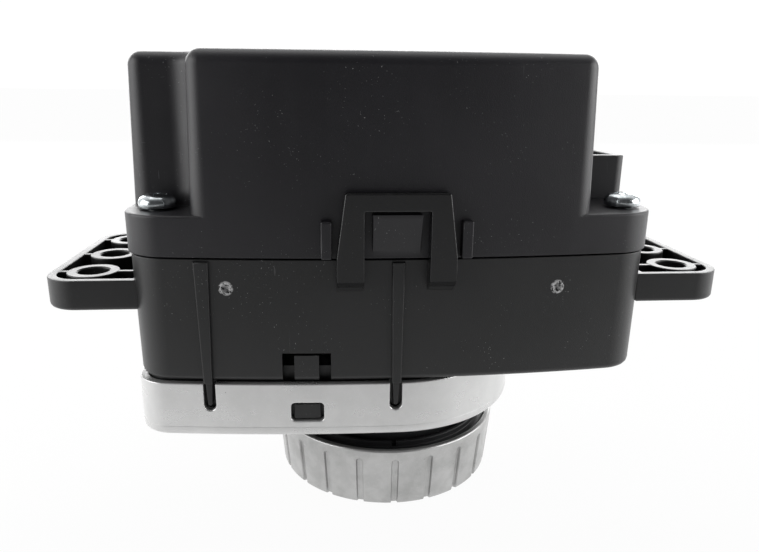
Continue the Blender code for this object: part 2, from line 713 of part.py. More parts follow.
def housing():
    body = plate("housing", [body_outline()], HOUSING_LOW, HOUSING_HIGH)
    soften(body, HOUSING_LOW, BODY_EDGE)
    cavity = plate("cavity", [body_outline(-WALL)], FLOOR_HIGH, HOUSING_HIGH + PAST)
    cut(body, cavity)
    inset = BEZEL_WALL + GAP
    collar_outlines = [bezel_outline(inset), bezel_outline(inset + COLLAR_WALL)]
    join(body, plate("collar", collar_outlines, COLLAR_LOW, HOUSING_LOW + 0.9))
    join(body, fixing_ears(), latch_loops())
    join(body, *tapered_rib("end_rib", END_RIB_X, END_RIB_TOP, END_RIB_FOOT))
    join(body, *tapered_rib("middle_rib", MIDDLE_RIB_X, MIDDLE_RIB_TOP, MIDDLE_RIB_FOOT))
    snap_half = BEZEL_WINDOW_WIDTH / 2 - 2 * GAP
    window = BEZEL_LOW + BEZEL_WINDOW_RISE
    outer = bezel_depth(BEZEL_WINDOW_X) - 0.5
    low = (BEZEL_WINDOW_X - snap_half, -outer, window + GAP)
    inner = outer - BEZEL_WALL - COLLAR_WALL / 2
    high = (BEZEL_WINDOW_X + snap_half, -inner, window + BEZEL_WINDOW_HEIGHT - GAP)
    join(body, mirrored(box("bezel_snap", low, high), 1))
    for x, y, _ in quadrants(COVER_SCREW_X, COVER_SCREW_Y):
        join(body, rod("cover_boss", COVER_BOSS_RADIUS, FLOOR_HIGH - SINK, HOUSING_HIGH - GAP, (x, y), 16))
        hole = HOUSING_HIGH - COVER_SCREW_LENGTH
        cut(body, rod("cover_screw_hole", COVER_SCREW_RADIUS + GAP, hole, HOUSING_HIGH + PAST, (x, y), 12))
    for x, y, _ in quadrants(BOARD_SCREW_X, BOARD_SCREW_Y):
        join(body, rod("board_post", BOARD_POST_RADIUS, FLOOR_HIGH - SINK, BOARD_HEIGHT - GAP, (x, y), 14))
        hole = BOARD_TOP - BOARD_SCREW_LENGTH - GAP
        cut(body, rod("board_screw_hole", BOARD_SCREW_RADIUS + GAP, hole, BOARD_HEIGHT + PAST, (x, y), 10))
    join(body, rod("bush_boss", BUSH_BOSS_RADIUS, BUSH_LOW + GAP, FLOOR_HIGH - GAP, steps=32))
    sensor_boss = rod("sensor_boss", SENSOR_BOSS_RADIUS, FLOOR_HIGH - SINK, SENSOR_GEAR_LOW - GAP, (SENSOR_X, 0))
    half = BALL_BLOCK_WIDTH / 2
    block_low = (-half, WHEEL_RADIUS + 2 * BALL_RADIUS, FLOOR_HIGH - SINK)
    block = box("ball_block", block_low, (half, face_y(0) - WALL + 0.5, WHEEL_HIGH + 2.5))
    join(body, sensor_boss, block)
    middle = -90.0
    for side in (-1, 1):
        angle = radians(middle + side * (KNOB_TRAVEL / 2 + stop_angle()))
        reach = STOP_LUG_RADIUS - STOP_POST_RADIUS
        centre = (reach * cos(angle), reach * sin(angle))
        join(body, rod("stop_post", STOP_POST_RADIUS, FLOOR_HIGH - SINK, WHEEL_HIGH, centre, 16))
    bore = rod("ball_bore", BALL_RADIUS + GAP, 0, face_y(0) - WALL - 1.0 - BALL_Y, steps=20)
    bore.data.transform(Matrix.Rotation(-pi / 2, 4, "X"))
    bore.location = Vector((0, BALL_Y, BALL_Z)) * MM
    bush_bore = rod("bush_bore", BUSH_RADIUS + GAP, BUSH_LOW - PAST, FLOOR_HIGH + PAST, steps=32)
    pin_low = SENSOR_GEAR_LOW - SENSOR_PIN_DEPTH
    pin_hole = rod("pin_hole", SENSOR_PIN_RADIUS + GAP, pin_low, SENSOR_GEAR_LOW + PAST, (SENSOR_X, 0), 16)
    cut(body, bore, bush_bore, pin_hole)
    half = TONGUE_WIDTH / 2
    wide = half + TONGUE_SLOT
    top = HOUSING_LOW + TONGUE_HEIGHT
    low = HOUSING_LOW - PAST
    outline = [(-wide, low), (-half, low), (-half, top), (half, top), (half, low), (wide, low)]
    outline += [(wide, top + 0.5), (-wide, top + 0.5)]
    deep = face_y(TONGUE_X) - TONGUE_DEPTH
    slot = [(TONGUE_X + x, z) for x, z in outline]
    cut(body, mirrored(front_plate("tongue_slot", slot, -face_y(0) - PAST, -deep), 1))
    finish(body, "housing", (0.018, 0.019, 0.02), 0.42)


# --- Rear cover and its screws ------------------------------------------------------------------------------------


def rear_cover():
    step = 0.1  # keeps the tall part's long faces just inside the flange's
    shell = plate("rear_cover", [body_outline(FLANGE_OVERHANG)], COVER_LOW, FLANGE_HIGH)
    soften(shell, FLANGE_HIGH, 0.6, 2)
    tall = plate("tall_part", [cover_outline(FLANGE_OVERHANG - step)], COVER_LOW + 0.5, COVER_HIGH)
    soften(tall, COVER_HIGH, COVER_EDGE, 3)
    mouth = (SHROUD_X[0], SHROUD_X[1] - SHROUD_FACET, SHROUD_X[1])
    half = SHROUD_DEPTH / 2
    facet = half - SHROUD_FACET
    outline = [(mouth[0], -half), (mouth[1], -half), (mouth[2], -facet), (mouth[2], facet), (mouth[1], half)]
    outline.append((mouth[0], half))
    shroud = plate("shroud", [outline], FLANGE_HIGH - 1.5, SHROUD_TOP)
    join(shell, tall, shroud)
    hollow = plate("cover_hollow", [cover_outline(FLANGE_OVERHANG - step - WALL)], COVER_LOW - PAST, COVER_HIGH - WALL)
    low = (0.0, -SOCKET_Y - WALL, COVER_LOW - PAST)
    side = box("side_hollow", low, (BODY_WIDTH / 2 - WALL, SOCKET_Y + WALL, FLANGE_HIGH - WALL))
    low = (SOCKET_X[0], -SOCKET_Y, FLANGE_HIGH - WALL - PAST)
    socket = box("socket", low, (SOCKET_X[1], SOCKET_Y, SHROUD_TOP + PAST))
    cut(shell, hollow, side, socket)
    for x, y, _ in quadrants(COVER_SCREW_X, COVER_SCREW_Y):
        cut(shell, rod("cover_screw_way", COVER_SCREW_RADIUS + GAP, COVER_LOW - PAST, FLANGE_HIGH + PAST, (x, y), 12))
    face = BODY_DEPTH / 2 + FLANGE_OVERHANG
    top = HOUSING_HIGH + LATCH_RISE - LATCH_BAR - 2 * GAP
    root = face - OVERLAP
    wedge = [(-root, top), (-root, top - CATCH_HEIGHT), (-face, top - CATCH_HEIGHT)]
    wedge += [(-face - CATCH_DEPTH, top - 0.8), (-face - CATCH_DEPTH, top)]
    half = CATCH_WIDTH / 2
    join(shell, mirrored(side_plate("catch", wedge, LATCH_X - half, LATCH_X + half), 1))
    inside = LATCH_FOOT_WIDTH / 2 + 0.8
    for side in (-1, 1):
        edges = sorted((LATCH_X + side * inside, LATCH_X + side * (inside + GUIDE_RIB)))
        low = (edges[0], -face - GUIDE_RIB_DEPTH, COVER_LOW + 0.2)
        high = (edges[1], -root, COVER_LOW + 0.2 + GUIDE_RIB_HEIGHT)
        join(shell, mirrored(box("guide_rib", low, high), 1))
    finish(shell, "rear_cover", (0.017, 0.016, 0.019), 0.38)


def pan_screw(name, radius, length, head, head_height, steps):
    """A pan-head screw with its head's underside at the origin."""
    profile = [
        (0.0, head_height),
        (head * 0.6, head_height * 0.94),
        (head * 0.92, head_height * 0.6),
        (head, 0.0),
        (radius, 0.0),
        (radius, -length + radius),
        (0.0, -length),
    ]
    return turned(name, profile, steps, False)


def cross_recessed(screw, name, head, head_height):
    """Cuts a cross recess into a screw's head."""
    arm = head * 0.52
    blade = head * 0.13
    floor = head_height * 0.45
    first = box(name + "_slot_x", (-arm, -blade, floor), (arm, blade, head_height + PAST))
    second = box(name + "_slot_y", (-blade, -arm, floor), (blade, arm, head_height + PAST))
    return cut(screw, first, second)


def cover_screws():
    size = (COVER_SCREW_RADIUS, COVER_SCREW_LENGTH, COVER_SCREW_HEAD, COVER_SCREW_HEAD_HEIGHT)
    screw = pan_screw("cover_screw", *size, 14)
    cross_recessed(screw, "cover_screw", COVER_SCREW_HEAD, COVER_SCREW_HEAD_HEIGHT)
    screws = repeat(screw, quadrants(COVER_SCREW_X, COVER_SCREW_Y, FLANGE_HIGH + GAP))
    coat(screws[0].data, "cover_screw", (0.62, 0.63, 0.62), 0.28, 1.0)


# --- Bezel, front panel and button --------------------------------------------------------------------------------


def bezel_slot(x, width):
    """A slot through both long walls, open at the bezel's upper edge and round at its foot."""
    return front_plate("bezel_slot", slot_outline(x, width, SLOT_FOOT, BEZEL_HIGH + PAST), -BODY_DEPTH, BODY_DEPTH)


def bezel():
    ring = plate("bezel", [bezel_outline(), bezel_outline(BEZEL_WALL)], BEZEL_LOW, BEZEL_HIGH)
    inner_reach = BEZEL_RADIUS - BEZEL_WALL / 2

    def on_outer_edge(x, y):
        if x >= 0:
            return sqrt(x * x + y * y) > inner_reach
        return abs(y) > bezel_depth(x) - BEZEL_WALL / 2 or x < -BEZEL_LEFT + BEZEL_WALL / 2 or corner_side(x, y)

    def corner_side(x, y):
        centre_x = -BEZEL_LEFT + BEZEL_CORNER
        centre_y = bezel_depth(centre_x) - BEZEL_CORNER
        away = sqrt((x - centre_x) ** 2 + (abs(y) - centre_y) ** 2)
        return x < centre_x and abs(y) > centre_y and away > BEZEL_CORNER - BEZEL_WALL / 2

    soften(ring, BEZEL_LOW, BEZEL_EDGE, 2, on_outer_edge)
    half = BEZEL_WINDOW_WIDTH / 2
    low = BEZEL_LOW + BEZEL_WINDOW_RISE
    corners = ((BEZEL_WINDOW_X - half, low), (BEZEL_WINDOW_X + half, low + BEZEL_WINDOW_HEIGHT))
    window = rounded_rectangle(*corners, BEZEL_WINDOW_CORNER, 3)
    cut(ring, front_plate("bezel_window", window, -BODY_DEPTH, BODY_DEPTH))
    cut(ring, bezel_slot(END_RIB_X, END_RIB_FOOT + 2 * GAP), bezel_slot(MIDDLE_RIB_X, MIDDLE_RIB_FOOT + 2 * GAP))
    finish(ring, "bezel", (0.72, 0.72, 0.71), 0.3, 0.9)


def button_outline(grow=0.0):
    half = (BUTTON_WIDTH / 2 + grow, BUTTON_LENGTH / 2 + grow)
    return rounded_rectangle((BUTTON_X - half[0], -half[1]), (BUTTON_X + half[0], half[1]), BUTTON_CORNER + grow)


def lens_outline(grow=0.0):
    half = (LENS_SIZE[0] / 2 + grow, LENS_SIZE[1] / 2 + grow)
    return rectangle((BUTTON_X - half[0], LENS_Y - half[1]), (BUTTON_X + half[0], LENS_Y + half[1]))


def front_panel():
    hole = circle(NECK_RADIUS + NECK_GAP, 48)
    outlines = [bezel_outline(BEZEL_WALL + GAP), hole, button_outline(GAP), lens_outline(GAP)]
    panel = plate("front_panel", outlines, PANEL_LOW, PANEL_HIGH)
    finish(panel, "front_panel", (0.012, 0.012, 0.013), 0.18)


def button_cap():
    low = BEZEL_LOW - BUTTON_PROUD
    flange_low = PANEL_HIGH + GAP
    flange_high = flange_low + BUTTON_FLANGE
    cap = plate("button_cap", [button_outline()], low, flange_high)
    soften(cap, low, 0.6, 2)
    flange = plate("button_flange", [button_outline(BUTTON_FLANGE_LIP)], flange_low, flange_high - 0.05)
    stem_high = PLUNGER_LOW - BUTTON_TRAVEL - GAP
    stem = rod("button_stem", PLUNGER_RADIUS, flange_high - 0.5, stem_high, (BUTTON_X, 0), 16)
    join(cap, flange, stem)
    finish(cap, "button_cap", (0.02, 0.02, 0.022), 0.3)


def button_spring():
    low = PANEL_HIGH + 2 * GAP + BUTTON_FLANGE
    size = (BUTTON_SPRING_RADIUS, BUTTON_SPRING_WIRE, low, BUTTON_BOARD_LOW - GAP)
    spring = coil("button_spring", *size, BUTTON_SPRING_TURNS)
    spring.location.x = BUTTON_X * MM
    finish(spring, "button_spring", (0.6, 0.6, 0.6), 0.3, 1.0)


def button_electrics():
    """The button's switch, its board with pegs up to the housing, the status light and its lens."""
    half = SWITCH_SIDE / 2
    switch = box("button_switch", (BUTTON_X - half, -half, SWITCH_LOW), (BUTTON_X + half, half, SWITCH_HIGH))
    join(switch, rod("plunger", PLUNGER_RADIUS, PLUNGER_LOW, SWITCH_LOW + 0.5, (BUTTON_X, 0), 16))
    finish(switch, "button_switch", (0.25, 0.25, 0.26), 0.4)
    low = (BUTTON_BOARD_X[0], BUTTON_BOARD_Y[0], BUTTON_BOARD_LOW)
    board = box("button_board", low, (BUTTON_BOARD_X[1], BUTTON_BOARD_Y[1], BUTTON_BOARD_HIGH))
    finish(board, "button_board", (0.02, 0.16, 0.06), 0.45)
    led_low = SWITCH_HIGH - 0.9
    led = box("status_led", (BUTTON_X - 1.5, LENS_Y - 0.8, led_low), (BUTTON_X + 1.5, LENS_Y + 0.8, SWITCH_HIGH))
    finish(led, "status_led", (0.85, 0.8, 0.55), 0.35)
    lens = plate("status_lens", [lens_outline()], PANEL_LOW, led_low - GAP)
    finish(lens, "status_lens", (0.85, 0.85, 0.82), 0.2)


# --- Knob and spindle ---------------------------------------------------------------------------------------------


def knob_ring():
    edge_high = KNOB_HEIGHT - RING_EDGE
    profile = [
        (RING_RADIUS - RING_RIM_WALL, KNOB_HEIGHT),
        (RING_RADIUS - RING_EDGE * 0.35, KNOB_HEIGHT - RING_EDGE * 0.3),
        (RING_RADIUS, edge_high),
        (RING_FOOT_RADIUS, RING_LOW + RING_EDGE * 0.6),
        (RING_FOOT_RADIUS - RING_EDGE * 0.5, RING_LOW),
        (RING_INNER_RADIUS, RING_LOW),
        (RING_INNER_RADIUS, RING_SEAT),
        (RING_RADIUS - RING_RIM_WALL - GAP, RING_SEAT),
        (RING_RADIUS - RING_RIM_WALL - GAP, KNOB_HEIGHT - 0.3),
    ]
    ring = turned("knob_ring", profile, 2 * FLUTES, True)
    rise = edge_high - RING_LOW
    lean = atan2(RING_RADIUS - RING_FOOT_RADIUS, rise)
    top = KNOB_HEIGHT - FLUTE_MARGIN
    half = FLUTE_WIDTH / 2
    for index in range(FLUTES):
        turn = -90 + 360 * index / FLUTES
        flute = box("flute", (-FLUTE_DEPTH, -half, -PAST), (2 * PAST, half, (top - RING_LOW) / cos(lean)))
        foot = Matrix.Translation(Vector((RING_FOOT_RADIUS, 0, RING_LOW)) * MM)
        spin = Matrix.Rotation(radians(turn), 4, "Z")
        flute.data.transform(spin @ foot @ Matrix.Rotation(lean, 4, "Y"))
        cut(ring, flute)
    finish(ring, "knob_ring", (0.62, 0.62, 0.61), 0.34, 0.9)


def knob_core():
    """The knob's black centre: a flange in the ring, a neck into the panel and a hub on the spindle."""
    flange = RING_RADIUS - RING_RIM_WALL - 2 * GAP
    neck_top = PANEL_HIGH - GAP
    rim_top = CORE_TOP + CORE_RING_RISE
    under = CORE_TOP - CORE_FLANGE + 0.6
    shoulder = RING_INNER_RADIUS - GAP
    face_seat = FACE_THICKNESS + GAP
    bore = SPINDLE_RADIUS + GAP
    profile = [
        (HUB_RADIUS, HUB_HEIGHT),
        (HUB_RADIUS, CORE_TOP - 0.6),
        (NECK_RADIUS - CORE_WALL, CORE_TOP - 0.6),
        (NECK_RADIUS - CORE_WALL, neck_top),
        (NECK_RADIUS, neck_top),
        (NECK_RADIUS, CORE_TOP),
        (CORE_RING_RADIUS - CORE_RING_WALL, CORE_TOP),
        (CORE_RING_RADIUS - CORE_RING_WALL, rim_top),
        (CORE_RING_RADIUS, rim_top),
        (CORE_RING_RADIUS, CORE_TOP),
        (flange, CORE_TOP),
        (flange, CORE_FLANGE_LOW),
        (shoulder, CORE_FLANGE_LOW),
        (shoulder, face_seat),
        (shoulder - CORE_WALL, face_seat),
        (shoulder - CORE_WALL, under),
        (HUB_RADIUS, under),
        (HUB_RADIUS, face_seat),
        (bore, face_seat),
        (bore, HUB_HEIGHT),
    ]
    core = turned("knob_core", profile, 32, True)
    slit = (-0.5, -CORE_RING_RADIUS - 0.5, CORE_TOP + 0.05)
    cut(core, box("ring_slit", slit, (0.5, -CORE_RING_RADIUS + CORE_RING_WALL + 0.5, rim_top + PAST)))
    finish(core, "knob_core", (0.016, 0.016, 0.017), 0.4)


def knob_face():
    radius = RING_INNER_RADIUS - GAP
    profile = [(0.0, FACE_THICKNESS), (radius, FACE_THICKNESS), (radius, 0.5), (radius - 0.5, 0.0), (0.0, 0.0)]
    disc = turned("knob_face", profile, 44, False)
    half = POINTER_WIDTH / 2
    start = radius - 2.0 - POINTER_LENGTH
    groove = box("pointer", (-half, -start - POINTER_LENGTH, -PAST), (half, -start, POINTER_DEPTH))
    finish(cut(disc, groove), "knob_face", (0.013, 0.013, 0.014), 0.16)


def spindle():
    groove_low = CLIP_LOW - GAP
    groove_high = CLIP_LOW + CLIP_THICKNESS + GAP
    neck = SPINDLE_RADIUS - CLIP_GROOVE_DEPTH
    profile = [
        (0.0, SPINDLE_HIGH),
        (SPINDLE_RADIUS - SPINDLE_CHAMFER, SPINDLE_HIGH),
        (SPINDLE_RADIUS, SPINDLE_HIGH - SPINDLE_CHAMFER),
        (SPINDLE_RADIUS, groove_high),
        (neck, groove_high),
        (neck, groove_low),
        (SPINDLE_RADIUS, groove_low),
        (SPINDLE_RADIUS, SPINDLE_LOW),
        (0.0, SPINDLE_LOW),
    ]
    shaft = turned("spindle", profile, 32, False)
    wide = 2 * SPINDLE_RADIUS
    low = (-wide, SPINDLE_FLAT, WHEEL_LOW - GAP / 2)
    cut(shaft, box("upper_flat", low, (wide, wide, SPINDLE_HIGH + PAST)))
    low = (-wide, SPINDLE_FLAT, SPINDLE_LOW - PAST)
    cut(shaft, box("lower_flat", low, (wide, wide, HUB_HEIGHT + GAP / 2)))
    finish(shaft, "spindle", (0.55, 0.55, 0.56), 0.3, 1.0)


def spindle_bush():
    bore = SPINDLE_RADIUS + RUN
    profile = [
        (BUSH_FLANGE_RADIUS, BUSH_HIGH),
        (BUSH_FLANGE_RADIUS, BUSH_HIGH - BUSH_FLANGE),
        (BUSH_RADIUS, BUSH_HIGH - BUSH_FLANGE),
        (BUSH_RADIUS, BUSH_LOW),
        (bore, BUSH_LOW),
        (bore, BUSH_HIGH),
    ]
    finish(turned("spindle_bush", profile, 32, True), "spindle_bush", (0.72, 0.7, 0.62), 0.45)


def retaining_clip():
    inner = SPINDLE_RADIUS - CLIP_GROOVE_DEPTH + GAP
    opening = degrees(CLIP_OPENING / inner) / 2
    outline = arc(CLIP_RADIUS, opening, 360 - opening, 20) + arc(inner, 360 - opening, opening, 16)
    clip = plate("retaining_clip", [outline], CLIP_LOW, CLIP_LOW + CLIP_THICKNESS)
    finish(clip, "retaining_clip", (0.5, 0.5, 0.5), 0.35, 1.0)


# --- Detent -------------------------------------------------------------------------------------------------------


def detent_wheel():
    """A wheel with a wavy edge and one lug that meets the stop posts."""
    per_notch = 4
    outline = []
    for index in range(DETENTS * per_notch):
        turn = 2 * pi * index / (DETENTS * per_notch)
        wave = (1 + cos(DETENTS * (turn - pi / 2))) / 2
        radius = WHEEL_RADIUS - DETENT_DEPTH * wave
        outline.append((radius * cos(turn), radius * sin(turn)))
    wheel = plate("detent_wheel", [outline, d_outline(GAP)], WHEEL_LOW, WHEEL_HIGH)
    half = STOP_LUG_WIDTH / 2
    lug = box("stop_lug", (WHEEL_RADIUS - 3, -half, WHEEL_LOW + 0.1), (STOP_LUG_RADIUS, half, WHEEL_HIGH - 0.1))
    lug.data.transform(Matrix.Rotation(radians(-90 - KNOB_TRAVEL / 2), 4, "Z"))
    finish(join(wheel, lug), "detent_wheel", (0.75, 0.74, 0.7), 0.5)


def detent_ball():
    place = Matrix.Translation(Vector((0, BALL_Y, BALL_Z)) * MM)

    def build(work):
        bmesh.ops.create_icosphere(work, subdivisions=2, radius=BALL_RADIUS * MM, matrix=place)

    finish(mesh_object("detent_ball", build), "detent_ball", (0.7, 0.7, 0.71), 0.12, 1.0)


def detent_spring():
    low = BALL_Y + BALL_RADIUS + GAP
    high = face_y(0) - WALL - 1.0 - GAP
    wire = 0.25
    spring = coil("detent_spring", BALL_RADIUS - wire - 0.1, wire, low, high, 5, 8)
    spring.rotation_euler.x = -pi / 2
    spring.location.z = BALL_Z * MM
    finish(spring, "detent_spring", (0.6, 0.6, 0.6), 0.3, 1.0)


# --- Position sensing ---------------------------------------------------------------------------------------------


def involute(angle):
    return tan(angle) - angle


def gear_outline(teeth, first=0.0):
    """A spur gear's outline, its flanks involute above the base circle, with its first tooth at the angle first."""
    pitch = GEAR_MODULE * teeth / 2
    base = pitch * cos(PRESSURE_ANGLE)
    tip = pitch + GEAR_ADDENDUM * GEAR_MODULE
    root = pitch - GEAR_DEDENDUM * GEAR_MODULE
    half_tooth = (pi * GEAR_MODULE / 2 - GEAR_BACKLASH / 2) / (2 * pitch)
    at_pitch = half_tooth + involute(PRESSURE_ANGLE)

    def half_angle(radius):
        pressure = acos(min(1.0, base / radius))
        return at_pitch - involute(pressure)

    radii = [root, max(base, root + 0.2), pitch, tip]
    outline = []
    for tooth in range(teeth):
        middle = first + 2 * pi * tooth / teeth
        for radius in radii:
            turn = middle - half_angle(max(radius, base))
            outline.append((radius * cos(turn), radius * sin(turn)))
        for radius in reversed(radii):
            turn = middle + half_angle(max(radius, base))
            outline.append((radius * cos(turn), radius * sin(turn)))
    return outline


def drive_gear():
    outlines = [gear_outline(DRIVE_TEETH), d_outline(GAP)]
    gear = plate("drive_gear", outlines, DRIVE_GEAR_LOW, DRIVE_GEAR_LOW + DRIVE_GEAR_THICKNESS)
    finish(gear, "drive_gear", (0.78, 0.77, 0.72), 0.5)


def sensor_gear():
    bore = circle(SENSOR_PIN_RADIUS + RUN, 16)
    first = pi / SENSOR_TEETH * ((SENSOR_TEETH + 1) % 2)  # turns a gap to the drive gear's tooth
    teeth = gear_outline(SENSOR_TEETH, first)
    gear = plate("sensor_gear", [teeth, bore], SENSOR_GEAR_LOW, SENSOR_GEAR_HIGH)
    inner = MAGNET_RADIUS + GAP
    cup = [circle(inner + CUP_WALL, 20), circle(inner, 20)]
    join(gear, plate("magnet_cup", cup, SENSOR_GEAR_HIGH - 0.5, SENSOR_GEAR_HIGH + MAGNET_HEIGHT * 0.7))
    gear.location.x = SENSOR_X * MM
    for modifier in gear.modifiers:
        modifier.object.location.x = SENSOR_X * MM
    finish(gear, "sensor_gear", (0.78, 0.77, 0.72), 0.5)


def sensor_parts():
    """The sensor gear's pin, its magnet and the sensor over it under the board."""
    centre = (SENSOR_X, 0)
    pin_low = SENSOR_GEAR_LOW - SENSOR_PIN_DEPTH + GAP
    pin = rod("sensor_pin", SENSOR_PIN_RADIUS, pin_low, SENSOR_GEAR_HIGH - GAP, centre, 16)
    finish(pin, "sensor_pin", (0.6, 0.6, 0.6), 0.25, 1.0)
    magnet_low = SENSOR_GEAR_HIGH + GAP
    magnet = rod("sensor_magnet", MAGNET_RADIUS, magnet_low, magnet_low + MAGNET_HEIGHT, centre, 20)
    finish(magnet, "sensor_magnet", (0.2, 0.2, 0.21), 0.35, 1.0)
    half = (HALL_SIZE[0] / 2, HALL_SIZE[1] / 2)
    high = BOARD_HEIGHT - GAP
    low = (SENSOR_X - half[0], -half[1], high - HALL_SIZE[2])
    sensor = box("position_sensor", low, (SENSOR_X + half[0], half[1], high))
    finish(sensor, "position_sensor", (0.02, 0.02, 0.02), 0.4)


# --- Circuit board and what it carries ----------------------------------------------------------------------------


def circuit_board():
    x, y = BOARD_HALF
    tab_x, tab_y = BOARD_TAB
    outline = [(-x, -y), (x, -y), (x, -tab_y), (tab_x, -tab_y), (tab_x, tab_y), (x, tab_y), (x, y), (-x, y)]
    places = quadrants(BOARD_SCREW_X, BOARD_SCREW_Y)
    holes = [circle(BOARD_SCREW_RADIUS + GAP, 12, place[:2]) for place in places]
    board = plate("circuit_board", [outline, *holes], BOARD_HEIGHT, BOARD_TOP)
    finish(board, "circuit_board", (0.02, 0.18, 0.07), 0.4)
    size = (BOARD_SCREW_RADIUS, BOARD_SCREW_LENGTH, BOARD_SCREW_HEAD, BOARD_SCREW_HEAD_HEIGHT)
    screws = repeat(pan_screw("board_screw", *size, 10), quadrants(BOARD_SCREW_X, BOARD_SCREW_Y, BOARD_TOP + GAP))
    coat(screws[0].data, "board_screw", (0.6, 0.6, 0.6), 0.3, 1.0)


def board_components():
    seat = BOARD_TOP + GAP
    width, depth, height = RELAY_SIZE
    low = (RELAY_X - width / 2, -depth / 2, seat)
    relay = box("relay", low, (RELAY_X + width / 2, depth / 2, seat + height), 0.8)
    finish(relay, "relay", (0.03, 0.1, 0.3), 0.35)
    shoulder = 0.8
    profile = [
        (0.0, CAPACITOR_HEIGHT),
        (CAPACITOR_RADIUS - shoulder, CAPACITOR_HEIGHT),
        (CAPACITOR_RADIUS, CAPACITOR_HEIGHT - shoulder),
        (CAPACITOR_RADIUS, 0.0),
        (0.0, 0.0),
    ]
    can = turned("capacitor", profile, 20, False)
    places = [(CAPACITOR_X, side * CAPACITOR_Y, seat) for side in (-1, 1)]
    coat(repeat(can, places)[0].data, "capacitor", (0.1, 0.11, 0.14), 0.3)
    half = CHIP_SIDE / 2
    x = (BOARD_SCREW_X + RELAY_X + RELAY_SIZE[0] / 2) / 2 - GAP
    chip = box("controller_chip", (x - half, -half, seat), (x + half, half, seat + CHIP_HEIGHT))
    finish(chip, "controller_chip", (0.02, 0.02, 0.02), 0.35)


def pin_places():
    x = (SOCKET_X[0] + SOCKET_X[1]) / 2
    rows = [x + PIN_ROW_PITCH * (row - (PIN_ROWS - 1) / 2) for row in range(PIN_ROWS)]
    return [(row, PIN_PITCH * (index - (PINS_IN_ROW - 1) / 2)) for row in rows for index in range(PINS_IN_ROW)]


def square(side, x, y):
    return rectangle((x - side / 2, y - side / 2), (x + side / 2, y + side / 2))


def socket_connector():
    """The pin carrier that rises from the board through the cover into the shroud, and its pins."""
    low = BOARD_TOP + GAP
    edge = rectangle((SOCKET_X[0] + GAP, -SOCKET_Y + GAP), (SOCKET_X[1] - GAP, SOCKET_Y - GAP))
    holes = [square(PIN_SIDE + 2 * GAP, x, y) for x, y in pin_places()]
    header = plate("socket_header", [edge, *holes], low, low + HEADER_RISE)
    finish(header, "socket_header", (0.02, 0.02, 0.02), 0.45)
    tip = SHROUD_TOP - PIN_TOP_DROP
    half = PIN_SIDE / 2
    pin = box("socket_pin", (-half, -half, 0.0), (half, half, tip - low))
    pins = repeat(pin, [(x, y, low) for x, y in pin_places()])
    coat(pins[0].data, "socket_pin", (0.8, 0.66, 0.3), 0.25, 1.0)


clear_scene()
PARTS = new_collection("battery_switch")
CUTTERS = new_collection("cutters")

housing()
rear_cover()
cover_screws()
bezel()
front_panel()
button_cap()
button_spring()
button_electrics()
knob_ring()
knob_core()
knob_face()
spindle()
spindle_bush()
retaining_clip()
detent_wheel()
detent_ball()
detent_spring()
drive_gear()
sensor_gear()
sensor_parts()
circuit_board()
board_components()
socket_connector()
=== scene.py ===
"""Looks of the rotary battery selector switch, built around its CAD frame.

Sizes are in millimetres in the row frame: the origin is the centre of the knob's face and +Z points to the rear
cover. Each visible moulding is made again here with the roundings, drafts and finish of the real one.
"""

from math import atan2, cos, degrees, pi, radians, sin, tan

import bmesh
import bpy
import numpy as np
from mathutils import Matrix, Vector


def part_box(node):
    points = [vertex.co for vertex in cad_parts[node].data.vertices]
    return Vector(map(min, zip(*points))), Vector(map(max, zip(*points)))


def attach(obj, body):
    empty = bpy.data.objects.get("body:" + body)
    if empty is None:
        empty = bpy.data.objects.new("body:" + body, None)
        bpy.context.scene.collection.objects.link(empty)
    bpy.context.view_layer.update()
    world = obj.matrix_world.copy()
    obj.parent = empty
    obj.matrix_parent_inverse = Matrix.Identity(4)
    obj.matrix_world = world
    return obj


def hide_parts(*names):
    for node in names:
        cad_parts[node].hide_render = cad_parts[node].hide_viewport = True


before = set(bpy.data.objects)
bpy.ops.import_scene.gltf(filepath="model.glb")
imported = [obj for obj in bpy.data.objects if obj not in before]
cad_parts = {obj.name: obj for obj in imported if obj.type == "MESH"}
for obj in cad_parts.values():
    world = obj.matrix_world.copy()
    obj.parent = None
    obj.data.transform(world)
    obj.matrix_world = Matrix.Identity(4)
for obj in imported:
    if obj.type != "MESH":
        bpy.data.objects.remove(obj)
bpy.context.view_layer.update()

MM = 0.001
CLOSE = 0.0002  # millimetres; nearer points are taken as one


def span(node):
    """Lowest and highest corner of a CAD node, in millimetres."""
    return np.array(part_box(node)) / MM


# --- Sizes --------------------------------------------------------------------------------------------------------

WALL = 2.0
GAP = 0.3
COVER_SEAM = 0.4
FLANGE_OVERHANG = 0.5
FLANGE_HEIGHT = 7.6
SHROUD_RISE = 9.2
CATCH_PROUD = 2.0
COVER_LOW, COVER_HIGH = span("rear_cover")[:, 2]
HALF_WIDTH = span("rear_cover")[1, 0] - FLANGE_OVERHANG
LEFT_END = span("rear_cover")[0, 0] + FLANGE_OVERHANG
HALF_DEPTH = span("rear_cover")[1, 1] - CATCH_PROUD - FLANGE_OVERHANG
FLANGE_HIGH = COVER_LOW + FLANGE_HEIGHT
SHROUD_HIGH = FLANGE_HIGH + SHROUD_RISE
SHROUD_HALF = 8.8
SOCKET_LOW, SOCKET_TOP = (40.0, -6.6), (48.0, 6.6)  # corners of the plug socket in X and Y
SOCKET_DEPTH = 12.0
HOUSING_HEIGHT = 24.3
HOUSING_FLOOR = 2.2
HOUSING_HIGH = COVER_LOW - COVER_SEAM
HOUSING_LOW = HOUSING_HIGH - HOUSING_HEIGHT
BEZEL_LOW, BEZEL_HIGH = span("bezel")[:, 2]
BEZEL_RADIUS = span("bezel")[1, 0]
BEZEL_LEFT = -span("bezel")[0, 0]
